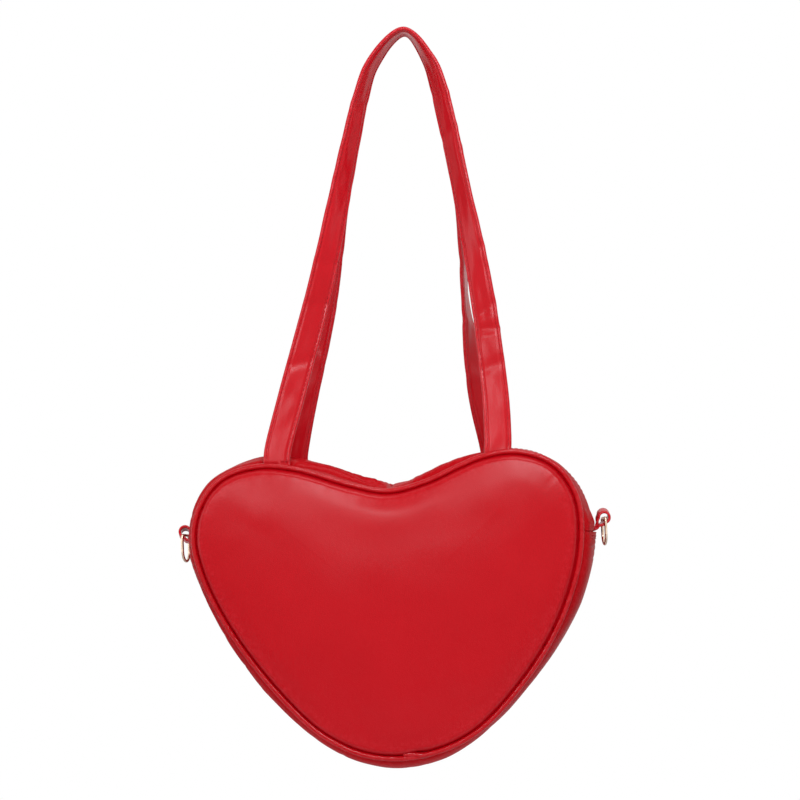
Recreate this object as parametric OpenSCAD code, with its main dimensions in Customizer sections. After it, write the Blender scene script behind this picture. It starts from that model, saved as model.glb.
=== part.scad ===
// Heart shaped purse with two long shoulder straps, a zip over the lobes,
// piped seams and a small ring in a leather loop on each side.
// The heart stands in the X-Z plane, its front faces -Y, and the origin is
// the point on which the straps hang.

/* [Heart outline, on the centre line of the piping] */
// Radius of each upper lobe
lobe_r = 52; // [50:0.5:55]
// Distance of each lobe's centre from the middle
lobe_x = 82; // [78:0.5:85]
// Height of the lobes' centres above the lowest point of the piping
lobe_z = 153; // [148:1:158]
// Radius of the rounded tip
tip_r = 95; // [88:1:100]
// Radius of the long sides between the tip and the lobes
side_r = 220; // [210:1:236]
// Radius of the hollow between the lobes
dip_r = 117; // [108:1:128]

/* [Body] */
// Distance from the middle of the bag to the centre of each piping
piping_y = 35.6; // [30:0.2:42]
// How far the bottom gusset swells beyond the piping
gusset_bulge = 7; // [5:0.5:9]
// How far the two strips beside the zip swell beyond the piping
strip_bulge = 6; // [5.5:0.5:8]
// Distance from the middle to the highest line of each strip
strip_crown_y = 20; // [18:0.5:24]
// Distance from the middle to the folded edge of each strip
strip_edge_y = 7; // [6.5:0.25:8.5]
// Height of that folded edge above the tape it is sewn to
strip_edge_h = 1.8; // [1.4:0.1:2.4]
// Width of the stitched part of each strip that lies on the tape
strip_seat_w = 4.5; // [3:0.5:6]
// Thickness of the leather in the gusset and the strips
skin_t = 1.6; // [1.2:0.1:2]
// Width of the seam allowance inside the bag
seam_w = 7; // [5:0.5:9]
// Thickness of the folded seam allowance of the gusset
seam_t = 1.2; // [0.8:0.05:1.2]
// Thickness of the lining cloth
lining_t = 0.7; // [0.5:0.1:0.9]

/* [Panels] */
// How far the front and back panels swell beyond their seam
crown = 11; // [7:0.5:14]
// Width over which each panel rises from its seam
rise_w = 28; // [24:1:30]
// Thickness of the panel leather
panel_t = 1.2; // [0.9:0.1:1.5]
// Thickness of the flat panel lining
panel_lining_t = 0.9; // [0.6:0.1:1]

/* [Piping] */
// Radius of the leather-covered piping
piping_r = 1.9; // [1.6:0.1:2.2]
// Radius of the cord inside it
cord_r = 1.2; // [0.9:0.1:1.3]
// Thickness of the two leather layers of its flange
flange_t = 1.2; // [1:0.1:1.4]

/* [Straps] */
// Width of each strap
strap_w = 18.5; // [16:0.5:22]
// Thickness of each strap
strap_t = 2.8; // [2.2:0.1:3.2]
// Distance of the front strap's ends from the middle
strap_x = 76; // [70:0.5:80]
// Rise of the straps from their seam to where they hang
strap_rise = 297; // [240:1:340]
// Sideways place of the hang point, seen from the middle of the heart
hang_x = 22; // [8:1:28]
// Extra rise of the back strap over the hook
back_lift = 3; // [0:0.5:5]
// Gap between the two straps where they lie side by side
strap_gap = 1.2; // [0.8:0.1:3]

/* [Zip] */
// Angle on the lobe at which the zip ends and the side loop is sewn
tab_a = -5; // [-8:0.5:0]
// Angle on the lobe at which the chain of teeth starts
chain_a = 24; // [20:1:30]
// Distance from one tooth to the next on the same tape
tooth_pitch = 3.2; // [2.8:0.1:3.6]
// Share of the pitch that one tooth takes up
tooth_share = 0.42; // [0.3:0.01:0.46]
// Height of a tooth
tooth_h = 2.2; // [1.8:0.1:2.4]
// How far a tooth reaches past the middle into its neighbours
tooth_reach = 0.9; // [0.6:0.1:1.1]
// Distance from the middle to the inner edge of each tape
tape_edge = 1.5; // [1.2:0.1:1.8]
// Width of each tape
tape_w = 11.5; // [10:0.5:14]
// Thickness of the tapes
tape_t = 0.8; // [0.6:0.1:1]
// Height of the underside of the tapes above the piping line
tape_o = 0.4; // [0.2:0.1:0.8]

/* [Slider] */
// Length of the slider along the chain
slider_l = 9; // [8:0.5:11]
// Half of the slider's width
slider_half_w = 4.2; // [4:0.1:4.6]
// Thickness of each slider plate
slider_t = 1; // [0.8:0.1:1.2]
// Thickness of the slider's side flanges
slider_rim_t = 0.8; // [0.6:0.1:1]
// Radius of the wire of the bridge on the slider
bridge_wire_r = 0.6; // [0.5:0.05:0.7]
// Radius of the bridge, on its wire's centre line
bridge_r = 2.8; // [2.6:0.1:3]
// Length of the pull from its bar to its end
pull_l = 18; // [14:1:22]
// Width of the pull
pull_w = 6; // [5:0.2:7]
// Thickness of the pull
pull_t = 1.2; // [1:0.1:1.4]
// Angle by which the pull leans on the slider at rest
pull_lean = 3; // [1:0.5:3]

/* [Side loops and rings] */
// Width of each leather loop, across the bag
loop_w = 10; // [8:0.5:10]
// Thickness of one layer of the loop
loop_t = 1.4; // [1.1:0.1:1.5]
// Inner radius of the eye that holds the ring
eye_r = 3; // [2.7:0.1:3.4]
// Distance from the loop's root to the centre of its eye
loop_l = 11; // [9.5:0.5:12.5]
// Angle at which the loop rises from its seam
loop_rise_a = 58; // [52:1:62]
// Radius of the ring's wire
ring_wire_r = 1; // [0.8:0.05:1.1]
// Half of the ring's width, on the wire's centre line
ring_half_w = 7.2; // [7:0.1:8]
// Height of the ring, from the centre of its bar to the centre of its lowest wire
ring_h = 18; // [16:0.5:20]
// Radius of the ring's upper corners
ring_corner_r = 2.2; // [2:0.1:2.6]
// Angle by which each ring stands askew in its loop
ring_turn = 10; // [0:1:12]

/* [Hidden] */

$fn = 48;
// Fragments of a full turn of the long bands
band_fn = 160;
// Sides of the piping and its cord
cord_fn = 12;
// Clearance between pieces that must not touch
gap = 0.3;
// Half of the joint between two arcs of one band
hairline = 0.005;
// Place of the bag's middle plane as a share, used to pick front or back
FRONT = 0;
BACK = 1;

red = [0.74, 0.10, 0.13];
dark_red = [0.55, 0.06, 0.09];
cloth = [0.62, 0.58, 0.56];
foam_white = [0.92, 0.91, 0.88];
gold = [0.86, 0.72, 0.55];

// Plane geometry of the heart

function unit(v) = v / norm(v);
function heading(v) = atan2(v.y, v.x);
function polar(r, a) = [r * cos(a), r * sin(a)];
function mix(a, b, s) = a + (b - a) * s;

tip_c = [0, tip_r];
lobe_c = [lobe_x, lobe_z];
tip_to_lobe = lobe_c - tip_c;
span = norm(tip_to_lobe);
// The side arc wraps both the tip circle and the lobe circle
to_tip = side_r - tip_r;
to_lobe = side_r - lobe_r;
along = (to_tip * to_tip - to_lobe * to_lobe + span * span) / (2 * span);
across = sqrt(to_tip * to_tip - along * along);
side_c = tip_c + unit(tip_to_lobe) * along
  + [-unit(tip_to_lobe).y, unit(tip_to_lobe).x] * across;
// The hollow touches both lobes from outside
dip_c = [0, lobe_z + sqrt(pow(lobe_r + dip_r, 2) - lobe_x * lobe_x)];

a_tip = heading(tip_c - side_c);
a_side = heading(lobe_c - side_c);
a_lobe = heading(dip_c - lobe_c);
a_dip = heading(lobe_c - dip_c);

// One row per arc: centre, radius, first angle, last angle, and if it is hollow
TIP = [tip_c, tip_r, -180 - a_tip, a_tip, false];
SIDE = [side_c, side_r, a_tip, a_side, false];
DIP = [dip_c, dip_r, -180 - a_dip, a_dip, true];
function lobe(from, to) = [lobe_c, lobe_r, from, to, false];

// Levels across the seams, from the middle of the bag towards the front
flange_in = piping_y - flange_t / 2;
flange_out = piping_y + flange_t / 2;
// The gusset passes behind the round of the piping
turn_y = piping_y - piping_r - gap;
turn_o = -piping_r + gap;
fold_o = -piping_r - gap;

// Sweeps a flat section along one arc. In the section X points away from the
// heart and Y points to the front. Neighbouring arcs meet at a hairline joint.
module band(arc) {
  slack = hairline * 180 / PI / arc[1];
  translate([arc[0].x, 0, arc[0].y])
    rotate([90, 0, 0])
      rotate([0, 0, arc[2] + slack])
        rotate_extrude(angle = arc[3] - arc[2] - 2 * slack, $fn = band_fn)
          translate([arc[1], 0])
            if (arc[4]) mirror([1, 0]) children();
            else children();
}

module both_sides() {
  children();
  mirror([1, 0, 0]) children();
}

// From the right loop down round the tip and up to the left loop
module lower_run() {
  band(TIP) children();
  both_sides() {
    band(SIDE) children();
    band(lobe(a_side, tab_a)) children();
  }
}

// From one lobe to the other over the hollow, starting at angle from
module upper_run(from) {
  band(DIP) children();
  both_sides() band(lobe(from, a_lobe)) children();
}

// The part is built with the heart's middle at X = 0 and the lowest piping at
// Z = 0, and is then brought to the hang point
base_z = lobe_z + lobe_r;
hang_z = base_z + strap_rise - strap_t / 2;

module placed() {
  translate([-hang_x, 0, -hang_z]) children();
}

// Turns a section or a solid to the back of the bag
module section_side(side) {
  if (side == BACK) mirror([0, 1]) children();
  else children();
}

module solid_side(side) {
  if (side == BACK) mirror([0, 1, 0]) children();
  else children();
}

// Panels

// Steps along the tip, a side, a lobe and the hollow, for half of the outline
tip_steps = 5;
side_steps = 6;
lobe_steps = 13;
dip_steps = 5;

// Half of the outline, set inwards by inset, from the tip up to the hollow
function half_outline(inset) = concat(
  [for (i = [0 : tip_steps - 1])
    tip_c + polar(tip_r - inset, mix(-90, a_tip, i / tip_steps))],
  [for (i = [0 : side_steps - 1])
    side_c + polar(side_r - inset, mix(a_tip, a_side, i / side_steps))],
  [for (i = [0 : lobe_steps - 1])
    lobe_c + polar(lobe_r - inset, mix(a_side, a_lobe, i / lobe_steps))],
  [for (i = [0 : dip_steps])
    dip_c + polar(dip_r + inset, mix(a_dip, -90, i / dip_steps))]
);
function outline(inset) = let (half = half_outline(inset), n = len(half))
  concat(half, [for (i = [n - 2 : -1 : 1]) [-half[i].x, half[i].y]]);

// Inner edge of the piping, where the panel leather comes out of the seam
rim_inset = piping_r + gap;
// The height at which a panel is fullest
crown_c = [0, (lobe_z + tip_r) / 2];
// Distance from the rim as shares of rise_w, and the height there as shares of crown
rise_at_share = [0, 0.02, 0.08, 0.2, 0.4, 0.7, 1];
rise_share = [0, 0.27, 0.5, 0.68, 0.81, 0.89, 0.94];
// How much of the leather's thickness lies sideways and upwards at each of those
skin_side_share = [1, 1, 0.8, 0.5, 0.25, 0.1, 0.05];
skin_up_share = [0, 0.25, 0.65, 0.9, 1, 1, 1];
// The field inside them, drawn in towards the middle, and its height
field_share = [0.62, 0.3];
field_rise_share = [0.98, 1];

function lay(points, y) = [for (p = points) [p.x, -y, p.y]];
function drawn(points, share) = [for (p = points) crown_c + (p - crown_c) * share];

// Rings of a panel surface. deep is 0 for the outer face and 1 for the inner one
function panel_rings(deep) = concat(
  [for (i = [0 : len(rise_share) - 1])
    lay(
      outline(rim_inset + rise_w * rise_at_share[i] + panel_t * skin_side_share[i] * deep),
      flange_out + crown * rise_share[i] - panel_t * skin_up_share[i] * deep
    )],
  [for (i = [0 : len(field_share) - 1])
    lay(
      drawn(outline(rim_inset + rise_w), field_share[i]),
      flange_out + crown * field_rise_share[i] - panel_t * deep
    )]
);
function panel_peak(deep) =
  [crown_c.x, -(flange_out + crown - panel_t * deep), crown_c.y];

// Triangles between two rings of n points that start at a and b
function strip(a, b, n) = [for (j = [0 : n - 1]) each [
  [a + j, b + j, b + (j + 1) % n],
  [a + j, b + (j + 1) % n, a + (j + 1) % n]
]];
function fan(a, peak, n) = [for (j = [0 : n - 1]) [a + j, peak, a + (j + 1) % n]];
function turned(faces) = [for (f = faces) [f[0], f[2], f[1]]];
function skin_faces(start, rings, n, peak) = concat(
  [for (i = [0 : rings - 2]) each strip(start + i * n, start + (i + 1) * n, n)],
  fan(start + (rings - 1) * n, peak, n)
);

module panel(side) {
  outer = panel_rings(0);
  inner = panel_rings(1);
  n = len(outer[0]);
  m = len(outer);
  points = concat(
    [for (r = outer) each r],
    [for (r = inner) each r],
    [panel_peak(0), panel_peak(1)]
  );
  solid_side(side) polyhedron(points, concat(
    turned(skin_faces(0, m, n, 2 * m * n)),
    skin_faces(m * n, m, n, 2 * m * n + 1),
    strip(0, m * n, n)
  ), convexity = 6);
}

// Padding that fills the panel down to the plane of its seam
module padding(side) {
  inner = panel_rings(1);
  n = len(inner[0]);
  m = len(inner);
  points = concat([for (r = inner) each r], [panel_peak(1)]);
  solid_side(side) polyhedron(points, concat(
    turned(skin_faces(0, m, n, m * n)),
    [[for (j = [n - 1 : -1 : 0]) j]]
  ), convexity = 4);
}

module flat_lining(side) {
  solid_side(side)
    translate([0, -flange_out + panel_lining_t, 0])
      rotate([90, 0, 0])
        linear_extrude(panel_lining_t)
          polygon(outline(seam_w + gap));
}

module front_panel() color(red) placed() panel(FRONT);
module back_panel() color(red) placed() panel(BACK);
module front_foam() color(foam_white) placed() padding(FRONT);
module back_foam() color(foam_white) placed() padding(BACK);
module front_lining() color(cloth) placed() flat_lining(FRONT);
module back_lining() color(cloth) placed() flat_lining(BACK);

// Piping

module piping_section() {
  translate([0, piping_y])
    difference() {
      union() {
        circle(r = piping_r, $fn = cord_fn);
        translate([-seam_w, -flange_t / 2]) square([seam_w, flange_t]);
      }
      circle(r = cord_r, $fn = cord_fn);
    }
}

module whole_run() {
  band(TIP) children();
  band(DIP) children();
  both_sides() {
    band(SIDE) children();
    band(lobe(a_side, a_lobe)) children();
  }
}

module piping(side) {
  whole_run() section_side(side) piping_section();
}

module piping_cord(side) {
  whole_run() section_side(side) translate([0, piping_y]) circle(r = cord_r, $fn = cord_fn);
}

module front_piping() color(red) placed() piping(FRONT);
module back_piping() color(red) placed() piping(BACK);
module front_piping_cord() color(foam_white) placed() piping_cord(FRONT);
module back_piping_cord() color(foam_white) placed() piping_cord(BACK);

// Gusset and strips

// Fullness of the round: 1 is an ellipse, less is boxier
full_share = 0.7;
// Step of the angle along a rounded profile
round_step = 10;
function soft(v) = sign(v) * pow(abs(v), full_share);
// A rounded profile that rises to top over the half width, set inwards by deep
function swell(t, top, deep) =
  [mix(turn_o, top - deep, soft(sin(t))), (turn_y - deep) * soft(cos(t))];

// Section of the gusset or its lining with the seam allowance at both edges,
// whose outer face lies at out and which is folded thick
module gusset_section(top, deep, thick, out, folded) {
  outer = [for (t = [0 : round_step : 180]) swell(t, top, deep)];
  inner = [for (t = [180 : -round_step : 0]) swell(t, top, deep + thick)];
  polygon(concat(
    [[-seam_w, out], [fold_o, out]], outer,
    [[fold_o, -out], [-seam_w, -out], [-seam_w, folded - out], [fold_o, folded - out]],
    inner,
    [[fold_o, out - folded], [-seam_w, out - folded]]
  ));
}

module bottom_gusset() color(red) placed() lower_run()
  gusset_section(gusset_bulge, 0, skin_t, flange_in, seam_t);

// The lining hangs inside the gusset leather
lining_deep = skin_t + gap;
lining_out = flange_in - seam_t - gap;
module bottom_gusset_lining() color(cloth) placed() lower_run()
  gusset_section(gusset_bulge, lining_deep, lining_t, lining_out, lining_t);

tape_top = tape_o + tape_t;
edge_top = tape_top + strip_edge_h;
// Steps of the fall from the crown of a strip to its folded edge
fall_steps = 6;

// The strap ends stand in a narrow groove between the piping and the strips
strap_y = piping_y - piping_r - gap - strap_t / 2;
groove_in = strap_y - strap_t / 2 - gap;
root_deep = -turn_o - gap / 2;

// Height of the block from which each sewn-in end is cut
root_h = 12;

// Sewn-in ends of one strap, whose undersides follow the seam of the lobes
module strap_root(side, xs) {
  solid_side(side) for (end = [xs[0], xs[len(xs) - 1]]) difference() {
    translate([strap_x * end - strap_w / 2, -strap_y - strap_t / 2, base_z - root_h])
      cube([strap_w, strap_t, root_h]);
    translate([lobe_x * sign(end), 0, lobe_z])
      rotate([90, 0, 0])
        cylinder(r = lobe_r - root_deep, h = piping_y, $fn = band_fn);
  }
}

// Profile of a strip from the groove over its crown
function strip_rise(t, deep) = [
  mix(turn_o, strip_bulge - deep, soft(sin(t))),
  strip_crown_y + (groove_in - deep - strip_crown_y) * soft(cos(t))
];
module strip_section() {
  rise = [for (t = [0 : round_step : 90]) strip_rise(t, 0)];
  fall = [for (i = [1 : fall_steps]) let (s = i / fall_steps) [
    mix(edge_top, strip_bulge, (1 + cos(180 * s)) / 2),
    mix(strip_crown_y, strip_edge_y, s)
  ]];
  seat = [[tape_top, strip_edge_y], [tape_top, strip_edge_y + strip_seat_w]];
  under = [for (t = [90 : -round_step : 0]) strip_rise(t, skin_t)];
  floor = [
    [turn_o - seam_t, groove_in - seam_t],
    [fold_o - seam_t, flange_in - seam_t],
    [-seam_w, flange_in - seam_t]
  ];
  polygon(concat([[-seam_w, flange_in], [fold_o, flange_in]], rise, fall, seat, under, floor));
}

module top_strip(side) {
  upper_run(tab_a) section_side(side) strip_section();
}

// Lining under a strip, from the tape to the seam
module strip_lining_section() {
  low = lining_t;
  near = loop_w / 2 + gap;
  out = lining_out;
  polygon([
    [tape_o, near], [tape_o, tape_edge + tape_w],
    [-seam_w / 2, out - seam_w / 2], [-seam_w * 0.7, out], [-seam_w, out],
    [-seam_w, out - low], [-seam_w * 0.7 - low, out - low],
    [-seam_w / 2 - low, out - seam_w / 2 - low],
    [tape_o - low, tape_edge + tape_w - low / 2], [tape_o - low, near]
  ]);
}

module strip_lining(side) {
  upper_run(tab_a) section_side(side) strip_lining_section();
}

module top_strip_front() color(red) placed() top_strip(FRONT);
module top_strip_back() color(red) placed() top_strip(BACK);
module top_lining_front() color(cloth) placed() strip_lining(FRONT);
module top_lining_back() color(cloth) placed() strip_lining(BACK);

// Zip

// The loop's root takes the first few degrees above the gusset's end
loop_half_t = loop_t;
root_in = seam_w / 2;
root_half_a = asin((loop_half_t + gap / 3) / (lobe_r - root_in));
loop_a = tab_a + root_half_a;
zip_a = loop_a + root_half_a;

module tape(side) {
  upper_run(zip_a) section_side(side)
    translate([tape_o, tape_edge]) square([tape_t, tape_w]);
}

// Length of the chain on a lobe and over the hollow, on the piping line
deg_per_mm_lobe = 180 / PI / lobe_r;
deg_per_mm_dip = 180 / PI / dip_r;
lobe_teeth = floor((a_lobe - chain_a) / deg_per_mm_lobe / tooth_pitch);
dip_teeth = floor((2 * (a_dip + 90)) / deg_per_mm_dip / tooth_pitch);

module tooth_section() {
  translate([tape_o - gap / 2, -tooth_reach]) square([tooth_h, tape_edge + tooth_reach]);
}

// One side's teeth. The other side's stand half a pitch further along
module teeth(side) {
  shift = side == FRONT ? 0 : 0.5;
  lobe_step = (a_lobe - chain_a) / lobe_teeth;
  dip_step = 2 * (a_dip + 90) / dip_teeth;
  for (i = [0 : lobe_teeth - 1]) {
    from = chain_a + (i + shift) * lobe_step;
    section_room = lobe_step * tooth_share;
    band(lobe(from, from + section_room)) section_side(side) tooth_section();
    mirror([1, 0, 0])
      band(lobe(from, from + section_room)) section_side(side) tooth_section();
  }
  for (i = [0 : dip_teeth - 1]) {
    from = -180 - a_dip + (i + shift) * dip_step;
    band([dip_c, dip_r, from, from + dip_step * tooth_share, true])
      section_side(side) tooth_section();
  }
}

// Metal stops that end the chain on each lobe, one on each tape
stop_l = 2.4;
module stops() {
  stop_deg = stop_l * deg_per_mm_lobe;
  space = gap * deg_per_mm_lobe;
  both_sides() band(lobe(chain_a - stop_deg - space, chain_a - space))
    for (side = [FRONT, BACK]) section_side(side)
      translate([tape_o - gap / 2, gap / 2]) square([tooth_h, tape_edge - gap / 2]);
}

module zipper_tape_front() color(dark_red) placed() tape(FRONT);
module zipper_tape_back() color(dark_red) placed() tape(BACK);
module zipper_teeth_front() color(gold) placed() teeth(FRONT);
module zipper_teeth_back() color(gold) placed() teeth(BACK);
module zipper_stops() color(gold) placed() stops();

// Slider, at rest at the left end of the chain. It is drawn on the right lobe
// and mirrored, and runs round the lobe's centre.

teeth_top = tape_o - gap / 2 + tooth_h;
slider_deg = slider_l * deg_per_mm_lobe;
slider_from = chain_a + gap * deg_per_mm_lobe;
slider_mid = slider_from + slider_deg / 2;
plate_o = teeth_top + gap;
plate_top = plate_o + slider_t;
base_top = tape_o - gap / 2 - gap;

module on_left() mirror([1, 0, 0]) children();

// A short band of the slider's length
module slider_band(cut) {
  band(lobe(slider_from + cut, slider_from + slider_deg - cut)) children();
}

module upper_wing() {
  slider_band(0)
    translate([plate_o, -slider_half_w]) square([slider_t, 2 * slider_half_w]);
  for (side = [FRONT, BACK])
    slider_band(0) section_side(side)
      translate([tape_top + gap, slider_half_w - slider_rim_t])
        square([plate_o - tape_top - gap + slider_t / 2, slider_rim_t]);
}

// Brings a solid to the slider: X along the chain, Y across, Z away from it
module at_slider() {
  translate([lobe_c.x, 0, lobe_c.y])
    rotate([0, -slider_mid, 0])
      translate([lobe_r, 0, 0])
        rotate([0, 90, 0])
          children();
}

// The bridge is a half ring that stands on the upper wing, in the middle of it
module bridge() {
  at_slider()
    translate([0, 0, plate_top - bridge_wire_r / 2])
      rotate([90, 0, 0])
        rotate_extrude(angle = 180)
          translate([bridge_r, 0]) circle(r = bridge_wire_r);
}

module zipper_slider() color(gold) placed() on_left() {
  upper_wing();
  bridge();
}

module zipper_slider_base() color(gold) placed() on_left()
  slider_band(0)
    translate([base_top - slider_t, -slider_half_w])
      square([slider_t, 2 * slider_half_w]);

// The pull's bar lies under the bridge, and its two arms pass beside the wire
bar_r = pull_t / 2;
bar_o = plate_top + gap + bar_r;
pull_window_w = pull_w - 2 * pull_t;
pull_window_l = bridge_r + bridge_wire_r + 2 * gap;
module pull() {
  at_slider()
    translate([0, 0, bar_o])
      rotate([0, pull_lean, 0])
        difference() {
          union() {
            rotate([90, 0, 0])
              cylinder(r = bar_r, h = pull_w, center = true);
            translate([0, -pull_w / 2, -pull_t / 2])
              cube([pull_l - pull_w / 2, pull_w, pull_t]);
            translate([pull_l - pull_w / 2, 0, -pull_t / 2])
              cylinder(r = pull_w / 2, h = pull_t);
          }
          translate([bar_r, -pull_window_w / 2, -pull_t])
            cube([pull_window_l, pull_window_w, 2 * pull_t]);
        }
}

module zipper_pull() color(gold) placed() on_left() pull();

// Straps

// Path of a strap from its left end over the hook to its right end: places as
// shares of strap_x beside the line from the middle to the hook, heights as
// shares of the rise, and turns as shares of 90
front_x_share = [-1, -0.985, -0.882, -0.69, -0.53, -0.378, -0.246, 0,
  0.222, 0.364, 0.602, 0.797, 0.948, 0.997, 1];
front_z_share = [0, 0.04, 0.16, 0.38, 0.61, 0.84, 0.94, 1,
  0.935, 0.84, 0.6, 0.38, 0.16, 0.04, 0];
front_turn_share = [0, 0, 0.08, 0.28, 0.49, 0.7, 0.83, 0.93,
  0.72, 0.56, 0.5, 0.28, 0.1, 0, 0];
back_x_share = [-0.93, -0.925, -0.845, -0.676, -0.566, -0.413, -0.285, 0,
  0.217, 0.352, 0.57, 0.612, 0.772, 0.895, 0.93];
back_z_share = [0, 0.04, 0.16, 0.38, 0.61, 0.84, 0.94, 1,
  0.935, 0.84, 0.6, 0.38, 0.16, 0.04, 0];
back_turn_share = [0, 0, 0.08, 0.3, 0.52, 0.7, 0.78, 0.95,
  0.72, 0.62, 0.62, 0.92, 0.3, 0, 0];

// Steps between two points of the path, and the rounding of a strap's edges
path_steps = 3;
strap_edge = strap_t * 0.3;
strap_apex_y = (strap_w + strap_gap) / 2;

function path_point(k, xs, zs, lift) = [
  strap_x * xs[k] + hang_x * zs[k],
  -mix(strap_y, strap_apex_y, zs[k]),
  base_z + gap / 2 + (strap_rise - gap / 2 + lift) * zs[k]
];
// A curve through the points p[0] to p[3], between the middle two
function curve(p, s) = 0.5 * (2 * p[1] + (p[2] - p[0]) * s
  + (2 * p[0] - 5 * p[1] + 4 * p[2] - p[3]) * s * s
  + (3 * p[1] - p[0] - 3 * p[2] + p[3]) * s * s * s);
function smooth(points) = let (last = len(points) - 1) concat(
  [for (k = [0 : last - 1]) for (i = [0 : path_steps - 1])
    curve([points[max(k - 1, 0)], points[k], points[k + 1], points[min(k + 2, last)]],
      i / path_steps)],
  [points[last]]
);
// The strap's own section, a flat band with eased edges
strap_outline = [
  [-strap_w / 2, -strap_t / 2 + strap_edge], [-strap_w / 2 + strap_edge, -strap_t / 2],
  [strap_w / 2 - strap_edge, -strap_t / 2], [strap_w / 2, -strap_t / 2 + strap_edge],
  [strap_w / 2, strap_t / 2 - strap_edge], [strap_w / 2 - strap_edge, strap_t / 2],
  [-strap_w / 2 + strap_edge, strap_t / 2], [-strap_w / 2, strap_t / 2 - strap_edge]
];
forward = [0, -1, 0];
// One ring of the strap at point p, heading t, with its width turned by turn
function strap_ring(p, t, turn) = let (
  level = unit(forward - t * (forward * t)),
  wide = cross(t, level),
  w = wide * cos(turn) + cross(t, wide) * sin(turn),
  n = cross(w, t)
) [for (q = strap_outline) p + w * q.x + n * q.y];

module strap(side, xs, zs, turns, lift) {
  path = smooth([for (k = [0 : len(xs) - 1]) path_point(k, xs, zs, lift)]);
  turn = smooth([for (k = [0 : len(turns) - 1]) [90 * turns[k]]]);
  last = len(path) - 1;
  n = len(strap_outline);
  // Both ends stand straight up out of their seam
  way = [for (i = [0 : last])
    i == 0 ? [0, 0, 1] : i == last ? [0, 0, -1] : unit(path[i + 1] - path[i - 1])];
  rings = [for (i = [0 : last]) strap_ring(path[i], way[i], turn[i][0])];
  solid_side(side) polyhedron([for (r = rings) each r], concat(
    [for (i = [0 : last - 1]) each turned(strip(i * n, (i + 1) * n, n))],
    [[for (j = [n - 1 : -1 : 0]) j]],
    [[for (j = [0 : n - 1]) last * n + j]]
  ), convexity = 6);
}

module front_strap() color(red) placed()
  strap(FRONT, front_x_share, front_z_share, front_turn_share, 0);
module back_strap() color(red) placed()
  strap(BACK, back_x_share, back_z_share, back_turn_share, back_lift);
module front_strap_ends() color(dark_red) placed()
  strap_root(FRONT, front_x_share);
module back_strap_ends() color(dark_red) placed()
  strap_root(BACK, back_x_share);

// Side loops and rings

// Middle of the leather round the eye, and the tangents from the root to it
eye_mid = eye_r + loop_t / 2;
root_o = gusset_bulge - loop_t;
leg_a = asin(eye_mid / loop_l);
leg_l = sqrt(loop_l * loop_l - eye_mid * eye_mid);

// The loop's profile, with its root at the origin and the body to the left
module loop_profile() {
  rotate(loop_rise_a) {
    translate([loop_l, 0]) difference() {
      circle(r = eye_r + loop_t);
      circle(r = eye_r);
      polygon([
        [0, 0], polar(loop_l, 180 - (90 - leg_a)),
        [-loop_l, 0], polar(loop_l, 180 + (90 - leg_a))
      ]);
    }
    for (s = [-1, 1]) rotate(s * leg_a) translate([0, -loop_t / 2]) square([leg_l, loop_t]);
  }
  translate([-root_o - root_in, -loop_half_t])
    square([root_o + root_in + loop_t / 2, 2 * loop_half_t]);
}

module at_loop() {
  translate([lobe_c.x, 0, lobe_c.y])
    rotate([0, -loop_a, 0])
      translate([lobe_r + root_o, 0, 0])
        children();
}

module loop() {
  at_loop() rotate([90, 0, 0])
    linear_extrude(loop_w, center = true) loop_profile();
}

// The ring's bar rests low in the eye
ring_drop = eye_r - ring_wire_r - 2 * gap;
ring_at = lobe_c + polar(lobe_r + root_o, loop_a) + polar(loop_l, loop_a + loop_rise_a)
  - [0, ring_drop];

module ring() {
  low = ring_h - ring_half_w;
  side_in = ring_half_w - ring_corner_r;
  translate([ring_at.x, 0, ring_at.y]) rotate([0, 0, ring_turn]) rotate([90, 0, 90]) {
    rotate([0, 90, 0]) cylinder(r = ring_wire_r, h = 2 * side_in, center = true);
    for (s = [0, 1]) mirror([s, 0, 0]) {
      translate([side_in, -ring_corner_r, 0])
        rotate_extrude(angle = 90) translate([ring_corner_r, 0]) circle(r = ring_wire_r);
      translate([ring_half_w, -ring_corner_r, 0])
        rotate([90, 0, 0]) cylinder(r = ring_wire_r, h = low - ring_corner_r);
    }
    translate([0, -low, 0]) rotate([0, 0, 180])
      rotate_extrude(angle = 180) translate([ring_half_w, 0]) circle(r = ring_wire_r);
  }
}

module right_loop() color(red) placed() loop();
module left_loop() color(red) placed() mirror([1, 0, 0]) loop();
module right_ring() color(gold) placed() ring();
module left_ring() color(gold) placed() mirror([1, 0, 0]) ring();

front_panel();
front_foam();
front_lining();
back_panel();
back_foam();
back_lining();
front_piping();
front_piping_cord();
back_piping();
back_piping_cord();
bottom_gusset();
bottom_gusset_lining();
top_strip_front();
top_strip_back();
top_lining_front();
top_lining_back();
zipper_tape_front();
zipper_tape_back();
zipper_teeth_front();
zipper_teeth_back();
zipper_stops();
zipper_slider();
zipper_slider_base();
zipper_pull();
front_strap();
back_strap();
front_strap_ends();
back_strap_ends();
right_loop();
left_loop();
right_ring();
left_ring();
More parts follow.
